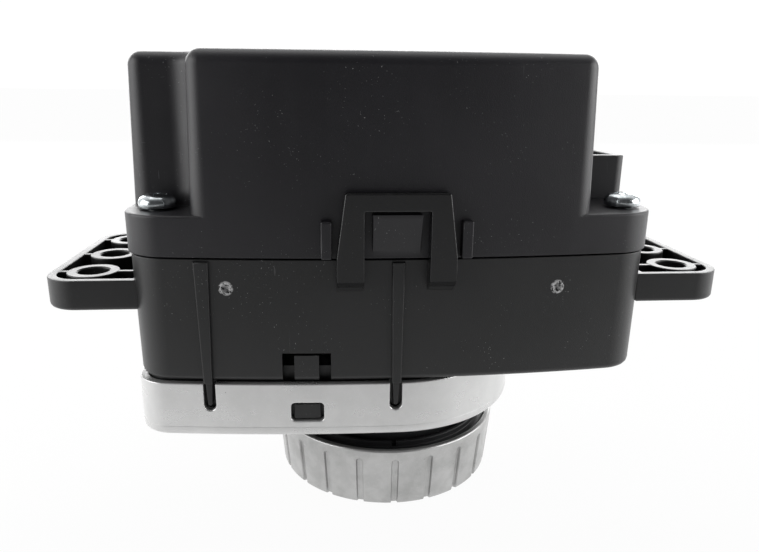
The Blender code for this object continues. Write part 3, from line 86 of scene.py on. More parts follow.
SCREW_X, SCREW_Y, _ = np.abs(span("cover_screw_1").mean(0))
SCREW_WAY_RADIUS = 2.05
EAR_TIP = span("housing")[1, 0]
EAR_DROP = 5.3  # from the housing's rim to the ears' ribbed side
EAR_THICKNESS = 6.0
EAR_HIGH = HOUSING_HIGH - EAR_DROP
EAR_LOW = EAR_HIGH - EAR_THICKNESS
EAR_HALF = 21.9
EAR_CORNER = 6.5
EAR_HOLE_X, EAR_HOLE_PITCH, EAR_HOLE_RADIUS, EAR_BOSS_RADIUS = 60.2, 14.3, 3.0, 5.0
RING_RADIUS = span("knob_ring")[1, 0]
KNOB_HIGH = span("knob_ring")[1, 2]
RING_LOW = span("knob_ring")[0, 2]
FACE_BOW = 3.25  # how far each long face falls back at the body's ends
BODY_CORNER = 8.0
COVER_CORNER = 3.2
COVER_STEP, COVER_RIGHT = -37.9, 35.9  # X of the tall part's set-back and of its right end
COVER_LEAN = 0.9  # how far the tall part's walls lean in over their height
LATCH_X = -1.0
LATCH_RISE = 12.65  # from the housing's rim to the top of the latch
LATCH_BAR, LATCH_THICKNESS = 3.3, 2.0
LATCH_LEG_IN, LATCH_LEG_OUT = 5.95, 11.0  # where each leg begins and ends, from the latch's middle
END_RIB_X = -36.7
MIDDLE_RIB_X = -0.5
SLOT_FOOT = BEZEL_HIGH - 5.7
BEZEL_WALL = 1.6
TONGUE_X = -17.8
BUTTON_X = -38.0
SENSOR_X = 22.5
KNOB_WAY_RADIUS = 21.0
GATE_MARKS = ((-32.4, 49.8), (30.4, 49.3))  # X and Z


# --- Surfaces -----------------------------------------------------------------------------------------------------


def arc(radius, first, last, steps, centre=(0.0, 0.0)):
    """Points centre + radius (cos t, sin t), with t in even steps from first to last degrees."""
    turn = np.radians(np.linspace(first, last, steps + 1))
    return np.column_stack((centre[0] + radius * np.cos(turn), centre[1] + radius * np.sin(turn)))


def circle(radius, steps, centre=(0.0, 0.0)):
    """The full turn of arc, without its last point, which is its first."""
    return arc(radius, 0, 360, steps, centre)[:-1]


def rounded(corners, steps=8):
    """The outline through corners (x, y, radius), each replaced by the arc that touches both of its sides."""
    pieces = []
    for index, (x, y, radius) in enumerate(corners):
        here = Vector((x, y))
        if radius <= 0:
            pieces.append(np.array([[x, y]]))
            continue
        before = (Vector(corners[index - 1][:2]) - here).normalized()
        after = (Vector(corners[(index + 1) % len(corners)][:2]) - here).normalized()
        half = before.angle(after) / 2
        centre = here + (before + after).normalized() * radius / sin(half)
        start = here + before * radius / tan(half) - centre
        side = 1 if before.cross(after) < 0 else -1
        first = degrees(atan2(start.y, start.x))
        pieces.append(arc(radius, first, first + side * degrees(pi - 2 * half), steps, centre))
    return np.vstack(pieces)


def rectangle(low, high, radius=0.0, steps=4):
    """The four sides between two corners, with each corner replaced by a quarter circle."""
    corners = [(low[0], low[1]), (high[0], low[1]), (high[0], high[1]), (low[0], high[1])]
    return rounded([(x, y, radius) for x, y in corners], steps)


def anticlockwise(outline):
    """The outline in the order that has its inside on the left, from the sign of its area."""
    outline = np.array(outline, float)
    following = np.roll(outline, -1, 0)
    area = (outline[:, 0] * following[:, 1] - outline[:, 1] * following[:, 0]).sum()
    return outline if area > 0 else outline[::-1]


def offset(outline, inset):
    """The outline moved inwards: each point goes along (n1 + n2) / (1 + n1.n2), the mitre of its sides' normals."""
    before = outline - np.roll(outline, 1, 0)
    before /= np.linalg.norm(before, axis=1)[:, None]
    after = np.roll(before, -1, 0)
    normals = before + after
    mitre = np.column_stack((normals[:, 1], -normals[:, 0])) / (1 + (before * after).sum(1))[:, None]
    return outline - inset * mitre


def soft_edges(low, high, low_edge, high_edge, draft=0.0, steps=4):
    """Profile (inset, height) of a wall whose ends are quarter circles, leaning in downwards by draft degrees."""
    turn = np.linspace(0, pi / 2, steps + 1)
    foot = np.column_stack((low_edge * (1 - np.sin(turn)), low + low_edge * (1 - np.cos(turn))))
    head = np.column_stack((high_edge * (1 - np.cos(turn)), high - high_edge * (1 - np.sin(turn))))
    profile = np.vstack((foot if low_edge else foot[:1], head if high_edge else head[:1]))
    profile[:, 0] += (high - profile[:, 1]) * tan(radians(draft))
    return profile


def mesh_object(name, points, faces):
    """An object of points in millimetres. Points closer than CLOSE are one, and faces with no area go."""
    mesh = bpy.data.meshes.new(name)
    mesh.from_pydata((points * MM).tolist(), [], faces)
    work = bmesh.new()
    work.from_mesh(mesh)
    bmesh.ops.remove_doubles(work, verts=work.verts, dist=CLOSE * MM)
    bmesh.ops.dissolve_degenerate(work, edges=work.edges, dist=CLOSE * MM)
    work.to_mesh(mesh)
    work.free()
    obj = bpy.data.objects.new(name, mesh)
    bpy.context.scene.collection.objects.link(obj)
    return obj


def grid(name, rows, ring=False, flip=False):
    """A closed surface through rows[i, j]. Columns wrap round; rows wrap round for a ring and are capped if not."""
    count, across = rows.shape[:2]
    row = np.arange(count if ring else count - 1)[:, None] * across
    above = (row + across) % (count * across)
    here = np.arange(across)
    following = (here + 1) % across
    quads = np.stack((row + here, row + following, above + following, above + here), -1).reshape(-1, 4)
    faces = quads.tolist()
    if not ring:
        faces += [here[::-1].tolist(), (here + (count - 1) * across).tolist()]
    if flip:
        faces = [face[::-1] for face in faces]
    return mesh_object(name, rows.reshape(-1, 3), faces)


def upright(points):
    """Leaves a shape as it is drawn, with its outline in X and Y and its height along Z."""
    return points


def front(points):
    """Turns a shape drawn in X and Z, with its height outwards, to the near side: (u, v, w) to (u, -w, v)."""
    return np.stack((points[..., 0], -points[..., 2], points[..., 1]), -1)


def end(points):
    """Turns a shape drawn in Y and Z, with its height along X: (u, v, w) to (w, u, v)."""
    return np.stack((points[..., 2], points[..., 0], points[..., 1]), -1)


def on_face(depth):
    """A placing like front, with the height measured outwards from the bowed face of half depth depth(x)."""

    def place(points):
        return np.stack((points[..., 0], -depth(points[..., 0]) - points[..., 2], points[..., 1]), -1)

    return place


def loft(name, outline, profile, place=upright):
    """The solid whose section at each height is the outline moved in by inset, for (inset, height) in profile."""
    outline = anticlockwise(outline)
    rows = [np.column_stack((offset(outline, inset), np.full(len(outline), height))) for inset, height in profile]
    return grid(name, place(np.array(rows)))


def hoop(name, outline, section):
    """A closed section of points (inset, height) carried round an outline: the section is the ring's rows."""
    outline = anticlockwise(outline)
    rows = [np.column_stack((offset(outline, inset), np.full(len(outline), height))) for inset, height in section]
    return grid(name, np.array(rows), ring=True)


def turned(name, profile, steps=96, centre=(0.0, 0.0), ring=False):
    """A profile of (radius, height) that runs up its outer side, turned about the vertical line through centre."""
    profile = np.array(profile, float)
    turn = np.linspace(0, 2 * pi, steps, endpoint=False)
    x = centre[0] + profile[:, :1] * np.cos(turn)
    y = centre[1] + profile[:, :1] * np.sin(turn)
    return grid(name, np.stack((x, y, np.broadcast_to(profile[:, 1:], x.shape)), -1), ring=ring)


def block(name, low, high, edge=0.25, steps=3):
    """A box between two corners with every edge rounded by the radius edge."""
    outline = rectangle(low[:2], high[:2], edge, steps)
    return loft(name, outline, soft_edges(low[2], high[2], edge, edge, steps=steps))


def mirrored(obj, ending, sides):
    """A copy with each coordinate times its side, 1 or -1, and its faces turned to point outwards again."""
    mesh = obj.data.copy()
    mesh.transform(Matrix.Diagonal((*sides, 1)))
    mesh.flip_normals()
    copy = bpy.data.objects.new(obj.name + ending, mesh)
    bpy.context.scene.collection.objects.link(copy)
    return copy


def far_side(obj):
    """The copy at Y times -1."""
    return mirrored(obj, "_far", (1, -1, 1))


def other_end(obj):
    """The copy at X times -1."""
    return mirrored(obj, "_left", (-1, 1, 1))


def both(obj):
    """The object on the near side and its copy on the far side."""
    return [obj, far_side(obj)]


def combine(body, operation, tools):
    """Joins or cuts body with each tool in turn, keeps the result as plain mesh and removes the tools."""
    for tool in tools:
        modifier = body.modifiers.new(tool.name, "BOOLEAN")
        modifier.operation = operation
        modifier.solver = "MANIFOLD"
        modifier.object = tool
    bpy.context.view_layer.update()
    evaluated = body.evaluated_get(bpy.context.evaluated_depsgraph_get())
    mesh = bpy.data.meshes.new_from_object(evaluated)
    body.modifiers.clear()
    body.data = mesh
    for tool in tools:
        bpy.data.objects.remove(tool)
    return body


def join(body, *tools):
    return combine(body, "UNION", tools)


def cut(body, *tools):
    return combine(body, "DIFFERENCE", tools)


def fillet_cut(name, outline, deep, mouth, place):
    """A cutter through a face at height 0, from -deep outwards, whose mouth flares by a quarter circle."""
    edge = 0.25
    turn = np.linspace(0, pi / 2, 4)
    flare = np.column_stack((-edge * (1 - np.cos(turn)), -edge * (1 - np.sin(turn))))
    profile = np.vstack(([(0.0, -deep)], flare, [(-edge, mouth)]))
    return loft(name, outline, profile, place)


# --- Outlines that several mouldings share ------------------------------------------------------------------------


def face_y(x, grow=0.0):
    """Half the body's depth at x: the long faces are bowed."""
    return HALF_DEPTH + grow - FACE_BOW * (x / HALF_WIDTH) ** 2


def bezel_y(x):
    """Half the bezel's depth at x, left of the knob's axis."""
    return BEZEL_RADIUS - FACE_BOW * (x / HALF_WIDTH) ** 2


def body_outline(grow=0.0):
    """The housing's outline, offset outwards by grow: square ends, and long faces at y = face_y(x)."""
    left, right, corner = LEFT_END - grow, HALF_WIDTH + grow, BODY_CORNER + grow
    reach = np.linspace(left, right, 41)
    reach = reach[(reach > left + corner) & (reach < right - corner)]
    near = [(left, -face_y(left, grow), corner)] + [(x, -face_y(x, grow), 0.0) for x in reach]
    near.append((right, -face_y(right, grow), corner))
    return rounded(near + [(x, -y, radius) for x, y, radius in near[::-1]], 12)


def cover_outline(grow):
    """The tall part's outline: square right end, and a left end set back on both sides to clear the screws."""
    step, right, left = COVER_STEP - grow, COVER_RIGHT + grow, LEFT_END - grow
    inner, blend, corner = SCREW_Y - 4.3 + grow, 5.2 - grow, COVER_CORNER + grow
    reach = np.linspace(step, right, 33)
    reach = reach[(reach > step + corner) & (reach < right - corner)]
    near = [(step, -face_y(step, grow), corner)] + [(x, -face_y(x, grow), 0.0) for x in reach]
    far = [(x, face_y(x, grow), 0.0) for x in reach[::-1]] + [(step, face_y(step, grow), corner)]
    sides = [(right, -face_y(right, grow), corner), (right, face_y(right, grow), corner)]
    back = [(step, inner, blend), (left, inner, corner), (left, -inner, corner), (step, -inner, blend)]
    return rounded(near + sides + far + back, 10)


def bezel_outline(inset=0.0):
    """The bezel's outline: a half circle about the knob, drawn out over the button to a square left end."""
    radius, left, corner = BEZEL_RADIUS - inset, -(BEZEL_LEFT - inset), 7.0 - inset
    reach = np.linspace(left, 0, 21)[1:]
    reach = reach[reach > left + corner]
    edge = radius - FACE_BOW * (left / HALF_WIDTH) ** 2
    depth = radius - FACE_BOW * (reach / HALF_WIDTH) ** 2
    near = [(left, -edge, corner)] + [(x, -y, 0.0) for x, y in zip(reach[:-1], depth)]
    far = [(x, y, 0.0) for x, y in zip(reach[-2::-1], depth[-2::-1])] + [(left, edge, corner)]
    bow = [(x, y, 0.0) for x, y in arc(radius, -90, 90, 64)]
    return rounded(near + bow + far, 12)


def turned_face(name, profile, centre):
    """A low round boss on the near face: radius and height outwards for each ring, from its foot to its top."""
    steps = 40
    rows = [np.column_stack((circle(radius, steps, centre), np.full(steps, height))) for radius, height in profile]
    sunk = np.column_stack((circle(profile[0][0], steps, centre), np.full(steps, -0.5)))
    return grid(name, on_face(face_y)(np.array([sunk, *rows])))


def slot_outline(x, width, foot, top):
    """An upright slot with a round foot, drawn in X and Z."""
    radius = width / 2
    round_foot = arc(radius, 180, 360, 12, (x, foot + radius))
    return np.vstack((round_foot, [(x + radius, top), (x - radius, top)]))


def quadrants(x, y):
    """The four points (x, y), (x, -y), (-x, y) and (-x, -y)."""
    return [(side_x * x, side_y * y) for side_x in (-1, 1) for side_y in (-1, 1)]


def post(name, radius, low, high, centre=(0.0, 0.0), edge=0.2):
    """A round post with rounded ends."""
    return loft(name, circle(radius, 40, centre), soft_edges(low, high, edge, edge))


# --- Rear cover ---------------------------------------------------------------------------------------------------


def rear_cover():
    """Flange, tall part and shroud, each an outline lofted upwards. The tall wall's inset grows with its height."""
    shell = loft("rear_cover_moulding", body_outline(FLANGE_OVERHANG), soft_edges(COVER_LOW, FLANGE_HIGH, 0.15, 0.45))
    proud = FLANGE_OVERHANG + 0.015
    wall = soft_edges(FLANGE_HIGH, COVER_HIGH, 0.0, 2.5, steps=8)
    wall[1:, 0] += COVER_LEAN * (wall[1:, 1] - FLANGE_HIGH) / (COVER_HIGH - FLANGE_HIGH)
    tall = loft("tall_part", cover_outline(proud), np.vstack(([(0.0, COVER_LOW + 0.4)], wall)))
    inner, outer, half = COVER_RIGHT - 1.3, HALF_WIDTH + FLANGE_OVERHANG - GAP, SHROUD_HALF
    corners = [(inner, -half, 0.0), (outer, -half, 2.2), (outer, half, 2.2), (inner, half, 0.0)]
    shroud = loft("shroud", rounded(corners), soft_edges(FLANGE_HIGH - 1.5, SHROUD_HIGH, 0.0, 0.35))
    join(shell, tall, shroud)
    hollow = loft("hollow", cover_outline(FLANGE_OVERHANG - WALL), [(0, COVER_LOW - 1), (0.3, COVER_HIGH - WALL)])
    room = 8.6  # half the depth of the hollow under the shroud
    side = block("side_hollow", (0.0, -room, COVER_LOW - 1), (HALF_WIDTH - WALL, room, FLANGE_HIGH - WALL), 0.5)
    socket = rectangle(SOCKET_LOW, SOCKET_TOP, 0.6)
    mouth_cut = fillet_cut("socket", socket, SOCKET_DEPTH, 1.0, lambda p: p + np.array((0, 0, SHROUD_HIGH)))
    corners = quadrants(SCREW_X, SCREW_Y)
    ways = [post("way", SCREW_WAY_RADIUS, COVER_LOW - 1, FLANGE_HIGH + 1, corner) for corner in corners]
    cut(shell, hollow, side, mouth_cut, *ways)
    face = HALF_DEPTH + FLANGE_OVERHANG
    top = HOUSING_HIGH + LATCH_RISE - LATCH_BAR - 2 * GAP
    wedge = [(-face + 0.8, top), (-face + 0.8, top - 7.0), (-face, top - 7.0)]
    wedge += [(-face - CATCH_PROUD, top - 0.8), (-face - CATCH_PROUD, top)]
    catch = loft("catch", wedge, soft_edges(LATCH_X - 4.5, LATCH_X + 4.5, 0.2, 0.2), end)
    ribs = []
    for x in (LATCH_X - 13.8, LATCH_X + 11.8):
        low = (x, -face - 1.7, COVER_LOW + 0.2)
        ribs += both(block("guide_rib", low, (x + 2.0, -face + 0.8, COVER_LOW + 7.1), 0.3))
    return join(shell, *both(catch), *ribs)


# --- Housing ------------------------------------------------------------------------------------------------------


def ear():
    """The right ear: a floor, a wall round it, three holed bosses and a rib across each."""
    inner, half = HALF_WIDTH - 0.8, EAR_HALF
    tips = [(EAR_TIP, -half, EAR_CORNER), (EAR_TIP, half, EAR_CORNER)]
    outline = rounded([(inner, -half, 0), *tips, (inner, half, 0)], 12)
    floor = loft("ear_floor", outline, soft_edges(EAR_LOW, EAR_LOW + 2.0, 0.8, 0.0))
    section = np.array([(0.8, 0.0), (0.27, 0.2), (0.0, 0.8), (0.0, 5.75), (0.07, 5.93), (0.25, 6.0)])
    inside = np.array([(1.45, 6.0), (1.63, 5.93), (1.7, 5.75), (1.75, 1.0), (1.75, 0.0)])
    wall = hoop("ear_wall", outline, np.vstack((section, inside)) + (0, EAR_LOW))
    holes, solids = [], [wall]
    for index in (-1, 0, 1):
        centre = (EAR_HOLE_X, index * EAR_HOLE_PITCH)
        solids.append(post("ear_boss", EAR_BOSS_RADIUS, EAR_LOW + 0.9, EAR_HIGH, centre, 0.25))
        low = (inner + 0.3, centre[1] - 0.6, EAR_LOW + 1.0)
        solids.append(block("ear_rib", low, (EAR_TIP - 0.9, centre[1] + 0.6, EAR_HIGH - 0.06), 0.2))
        profile = [(-0.25, EAR_LOW - 1), (-0.25, EAR_LOW), (0, EAR_LOW + 0.3), (0, EAR_HIGH - 0.3)]
        profile += [(-0.25, EAR_HIGH), (-0.25, EAR_HIGH + 1)]
        holes.append(loft("ear_hole", circle(EAR_HOLE_RADIUS, 48, centre), profile))
    return cut(join(floor, *solids), *holes)


def latch():
    """The near latch: an inverted U that stands off the cover's face, on two ramped feet."""
    inside = HALF_DEPTH + FLANGE_OVERHANG + GAP
    outside = inside + LATCH_THICKNESS
    top, low, bar = HOUSING_HIGH + LATCH_RISE, HOUSING_HIGH - 1.2, HOUSING_HIGH + LATCH_RISE - LATCH_BAR
    leg, wide, shoulder, knee = LATCH_LEG_IN, LATCH_LEG_OUT, 9.4, low + 2.0
    corners = [(-wide, low, 0), (-leg, low, 0), (-leg, bar, 0.3), (leg, bar, 0.3), (leg, low, 0)]
    corners += [(wide, low, 0), (wide, knee, 1.0), (shoulder, top, 0.5), (-shoulder, top, 0.5), (-wide, knee, 1.0)]
    outline = rounded([(LATCH_X + x, z, radius) for x, z, radius in corners], 6)
    loop = loft("latch", outline, soft_edges(inside, outside, 0.1, 0.3), front)
    root, heel = HALF_DEPTH - 0.8, HOUSING_HIGH - 6.55
    ramp = [(-root, heel), (-root, HOUSING_HIGH - 0.2), (-outside + 0.02, HOUSING_HIGH - 0.2)]
    ramp = np.array([*ramp, (-outside + 0.02, heel + 3.05)])
    feet = []
    for side in (-1, 1):
        edges = sorted((LATCH_X + side * leg, LATCH_X + side * wide))
        feet.append(loft("latch_foot", ramp, soft_edges(*edges, 0.25, 0.25), end))
    return join(loop, *feet)


def face_rib(x, top_width, foot_width):
    """A tapered rib on the long faces, and its narrower tab down into the bezel's slot."""
    low, high = HOUSING_LOW - GAP, HOUSING_HIGH - 0.4
    outline = [(x - foot_width / 2, low), (x + foot_width / 2, low), (x + top_width / 2, high)]
    outline.append((x - top_width / 2, high))
    rib = loft("rib", outline, soft_edges(-0.9, 0.62, 0.0, 0.3), on_face(face_y))
    foot, head, top = foot_width / 2 - 0.4, foot_width / 2 - 0.1, HOUSING_LOW + 0.5
    round_foot = arc(foot, 180, 360, 12, (x, SLOT_FOOT + GAP + 0.6 + foot))
    tab_outline = np.vstack((round_foot, [(x + head, top), (x - head, top)]))
    collar = bezel_y(x) - BEZEL_WALL - GAP - 0.8
    tab = loft("tab", tab_outline, soft_edges(collar, face_y(x) - 0.5, 0.0, 0.3), front)
    return both(rib) + both(tab)


def housing_inside():
    """The posts, bosses and seats inside the housing, and the holes through them."""
    floor = HOUSING_LOW + HOUSING_FLOOR
    sunk = floor - 0.5
    solids, holes = [], []
    for place in quadrants(SCREW_X, SCREW_Y):
        solids.append(post("cover_boss", 3.9, sunk, HOUSING_HIGH - GAP, place))
        holes.append(post("cover_screw_hole", SCREW_WAY_RADIUS, HOUSING_HIGH - 16, HOUSING_HIGH + 1, place))
    for place in quadrants(34.0, 19.0):
        solids.append(post("board_post", 3.0, sunk, 49.7, place))
        holes.append(post("board_screw_hole", 1.4, 44.3, 51.0, place))
    solids.append(post("bush_boss", 9.0, 27.0, floor - GAP))
    holes.append(post("bush_bore", 6.3, 25.7, floor + 1))
    solids.append(post("sensor_boss", 4.0, sunk, 38.4, (SENSOR_X, 0.0)))
    holes.append(post("sensor_pin_hole", 1.8, 34.7, 39.7, (SENSOR_X, 0.0)))
    solids.append(block("ball_block", (-4.0, 20.0, sunk), (4.0, HALF_DEPTH - WALL + 0.5, 40.5), 0.4))
    bore = loft("ball_bore", circle(2.3, 40, (0.0, 36.3)), [(0, 18.3), (0, 25.8)], front)
    holes.append(far_side(bore))
    bpy.data.objects.remove(bore)
    stop_reach, stop_angle = 18.0, 79.6  # where each stop post stands, from the knob's axis and from the near side
    for side in (-1, 1):
        turn = radians(-90 + side * stop_angle)
        solids.append(post("stop_post", 1.5, sunk, 38.0, (stop_reach * cos(turn), stop_reach * sin(turn))))
    return solids, holes


def housing():
    """The body's outline lofted upwards and hollowed, joined to its collar, ears, latches, ribs and posts."""
    body = loft("housing_moulding", body_outline(), soft_edges(HOUSING_LOW, HOUSING_HIGH, 1.2, 0.15, draft=0.6))
    cavity = loft("cavity", body_outline(-WALL), [(0.2, HOUSING_LOW + HOUSING_FLOOR), (0, HOUSING_HIGH + 1)])
    cut(body, cavity)
    collar_low, collar_high = BEZEL_LOW + 2.7, HOUSING_LOW + 0.9
    outer, inner = 1.9, 3.5  # the collar's faces, inwards from the bezel's outline
    section = [(outer, collar_low), (outer, collar_high), (inner, collar_high), (inner, collar_low)]
    collar = hoop("collar", bezel_outline(), section)
    right = ear()
    near = latch()
    face = -bezel_y(TONGUE_X)
    snap = block("bezel_snap", (-20.4, face + 0.5, 22.8), (-15.2, face + 2.9, 26.1), 0.25)
    band = rectangle((-21.0, HOUSING_LOW + 5.9), (-14.7, HOUSING_HIGH - 0.3))
    bands = both(loft("band", band, soft_edges(-0.6, -0.08, 0.0, 0.12), on_face(face_y)))
    solids, holes = housing_inside()
    join(body, collar, right, other_end(right), *both(near), *both(snap), *bands)
    join(body, *face_rib(END_RIB_X, 2.8, 1.7), *face_rib(MIDDLE_RIB_X, 2.4, 1.8), *solids)
    wide, half, top, low = 4.65, 2.35, HOUSING_LOW + 5.4, HOUSING_LOW - 1
    slot = [(-wide, low), (-half, low), (-half, top), (half, top), (half, low), (wide, low)]
    slot += [(wide, top + 0.5), (-wide, top + 0.5)]
    slot = np.array(slot) + (TONGUE_X, 0)
    tongue = loft("tongue_slot", slot, [(0, -WALL - 1), (0, 1.0)], on_face(face_y))
    marks, rings = [], []
    rim = [(1.25, 0.0), (1.15, 0.14), (0.98, 0.18), (0.8, 0.12)]
    dish = [(0.75, -0.62), (0.4, -0.55), (0.12, -0.4), (0.0, -0.1), (0.0, 0.6)]
    for centre in GATE_MARKS:
        rings.append(turned_face("gate_ring", rim, centre))
        marks.append(loft("gate_mark", circle(0.85, 40, centre), dish, on_face(face_y)))
    return cut(join(body, *rings), *both(tongue), *marks, *holes)


# --- Bezel, panel and button --------------------------------------------------------------------------------------


def bezel():
    """A section carried round the outline: a quarter circle at the foot, a fine bead and a rounded lip."""
    low, high, fold = BEZEL_LOW, BEZEL_HIGH, 1.15
    turn = np.linspace(0, pi / 2, 7)
    bend = np.column_stack((fold * (1 - np.sin(turn)), low + fold * (1 - np.cos(turn))))
    bead = [(0.0, low + 1.9), (0.05, low + 1.98), (0.05, low + 2.06), (0.0, low + 2.14)]
    head = [(0.0, high - 0.3), (0.09, high - 0.09), (0.3, high), (1.3, high), (1.51, high - 0.09), (1.6, high - 0.3)]
    tail = [(1.6, low + 0.3), (1.5, low + 0.05), (1.4, low)]
    ring = hoop("bezel_band", bezel_outline(), np.vstack((bend, bead, head, tail)))
    window = rectangle((-21.0, low + 3.3), (-14.6, low + 7.2), 0.8)
    cutters = both(fillet_cut("bezel_window", window, 3.0, 1.0, on_face(bezel_y)))
    for x, width in ((END_RIB_X, 2.3), (MIDDLE_RIB_X, 2.4)):
        outline = slot_outline(x, width, SLOT_FOOT, high + 1)
        cutters += both(fillet_cut("bezel_slot", outline, 3.0, 1.0, on_face(bezel_y)))
    return cut(ring, *cutters)


def front_panel():
    """The bezel's outline moved in and lofted, cut by a way for the knob, the button and the light."""
    low, high = span("front_panel")[:, 2]
    panel = loft("front_panel_moulding", bezel_outline(1.9), soft_edges(low, high, 0.25, 0.25))
    button_way = rectangle((BUTTON_X - 6.0, -11.0), (BUTTON_X + 6.0, 11.0), 2.8, 8)
    light_way = rectangle((BUTTON_X - 3.3, 14.5), (BUTTON_X + 3.3, 17.5), 0.3)
    profile = [(-0.35, low - 1), (-0.35, low), (-0.1, low + 0.1), (0, low + 0.35), (0, high + 1)]
    ways = (circle(KNOB_WAY_RADIUS, 96), button_way, light_way)
    return cut(panel, *[loft("panel_way", outline, profile) for outline in ways])


def button_cap():
    """A lofted cap on a wider lip, with a stem behind it and a turned dish in its face."""
    low, high = span("button_cap")[0, 2], BEZEL_LOW + 3.9
    outline = rectangle((BUTTON_X - 5.7, -10.7), (BUTTON_X + 5.7, 10.7), 2.5, 8)
    cap = loft("button_moulding", outline, soft_edges(low, high, 0.7, 0.1))
    lip = rectangle((BUTTON_X - 7.0, -12.0), (BUTTON_X + 7.0, 12.0), 3.8, 8)
    flange = loft("button_lip", lip, soft_edges(21.9, 23.05, 0.15, 0.15))
    stem = post("button_stem", 1.6, 22.6, span("button_cap")[1, 2], (BUTTON_X, 0.0))
    dish = [(0.0, -1.0), (4.6, -1.0), (4.6, 0.02), (3.6, 0.3), (2.0, 0.46), (0.0, 0.5)]
    dimple = turned("dimple", np.array(dish) + (0, low), 64, (BUTTON_X, 0.0))
    return cut(join(cap, flange, stem), dimple)


# --- Knob ---------------------------------------------------------------------------------------------------------


def knob_ring():
    """The fluted ring: r(t, z) is the turned profile, less the flute's depth inside each flute's rounded slot."""
    flutes, depth, half_width, margin = 21, 0.6, 0.8, 2.2
    flare = 1.1  # how far the wall leans out from its foot to its rim
    foot = RING_RADIUS - flare
    lower = np.array([(foot - 0.55, RING_LOW), (foot - 0.2, RING_LOW + 0.12), (foot, RING_LOW + 0.5)])
    z = np.linspace(RING_LOW + 0.9, KNOB_HIGH - 1.3, 34)
    wall = np.column_stack((foot + flare * (z - RING_LOW - 0.5) / (KNOB_HIGH - 1.4 - RING_LOW), z))
    turn = np.linspace(0, pi / 2, 6)
    rim = np.column_stack((RING_RADIUS - 0.45 * (1 - np.cos(turn)), KNOB_HIGH - 0.45 * (1 - np.sin(turn))))
    inner = [(24.6, KNOB_HIGH), (24.35, KNOB_HIGH - 0.1), (24.3, KNOB_HIGH - 0.4), (24.3, 9.4), (23.2, 9.4)]
    profile = np.vstack((lower, wall, rim, inner, [(23.2, RING_LOW)]))
    pitch = 2 * pi / flutes
    width = half_width / RING_RADIUS
    walls = np.array([-1.0, -0.95, -0.85, -0.75, -0.6, -0.3, 0.0, 0.3, 0.6, 0.75, 0.85, 0.95, 1.0]) * width
    land = np.linspace(width, pitch - width, 7)[1:-1]
    turn = (np.concatenate((walls, land)) + (np.arange(flutes) * pitch - pi / 2)[:, None]).ravel()
    across = np.tile(np.concatenate((walls, np.full(len(land), pitch))), flutes) * RING_RADIUS
    height = profile[:, 1:]
    end_z = KNOB_HIGH - margin - half_width
    beyond = np.maximum(height - end_z, 0.0)
    inside = half_width - np.sqrt(across**2 + beyond**2)
    ramp = np.clip(inside / 0.25, 0.0, 1.0)
    outer = np.zeros((len(profile), 1))
    outer[: len(lower) + len(wall)] = 1.0
    radius = profile[:, :1] - depth * outer * ramp * ramp * (3 - 2 * ramp)
    rows = np.stack((radius * np.cos(turn), radius * np.sin(turn), np.broadcast_to(height, radius.shape)), -1)
    return grid("knob_ring_fluted", rows, ring=True)


def knob_core():
    """A turned profile: hub, web and outer wall, and a raised ring with a slit at the near side."""
    low, high = span("knob_core")[:, 2]
    flange, top = 24.0, 12.9
    profile = [(7.5, high), (7.5, top - 0.6), (18.8, top - 0.6), (18.8, 21.3), (20.2, 21.3), (20.5, 21.0)]
    profile += [(20.5, top + 0.3), (20.7, top), (21.5, top), (21.6, top + 0.1), (21.6, top + 1.05)]
    profile += [(21.75, top + 1.2), (22.35, top + 1.2), (22.5, top + 1.05), (22.5, top + 0.1), (22.6, top)]
    profile += [(flange - 0.3, top)]
    profile += [(flange, top - 0.3), (flange, 9.7), (22.9, 9.7), (22.9, low), (21.2, low), (21.2, 10.3), (7.5, 10.3)]
    profile += [(7.5, low), (4.3, low), (4.3, high)]
    core = turned("knob_core_moulding", profile[::-1], 128, ring=True)
    slit = block("ring_slit", (-0.5, -23.0, top + 0.05), (0.5, -21.1, top + 2.2), 0.1)
    return cut(core, slit)


def knob_face():
    """A turned disc with a quarter circle at its edge, and a straight groove as its pointer."""
    radius, high = span("knob_face")[1, ::2]
    bend = 0.7
    turn = np.linspace(0, pi / 2, 6)
    edge = np.column_stack((radius - bend * (1 - np.sin(turn)), bend * (1 - np.cos(turn))))
    profile = np.vstack(([(0.0, 0.0), (12.0, 0.0)], edge, [(radius, high - 0.2), (radius - 0.2, high), (0.0, high)]))
    disc = turned("knob_face_disc", profile, 128)
    outline = rectangle((-0.7, -20.9), (0.7, -11.9), 0.65, 8)
    groove = loft("pointer_groove", outline, [(-0.3, -1.0), (-0.1, 0.0), (0, 0.15), (0, 0.5), (0.15, 0.6)])
    return cut(disc, groove)


# --- Screws -------------------------------------------------------------------------------------------------------


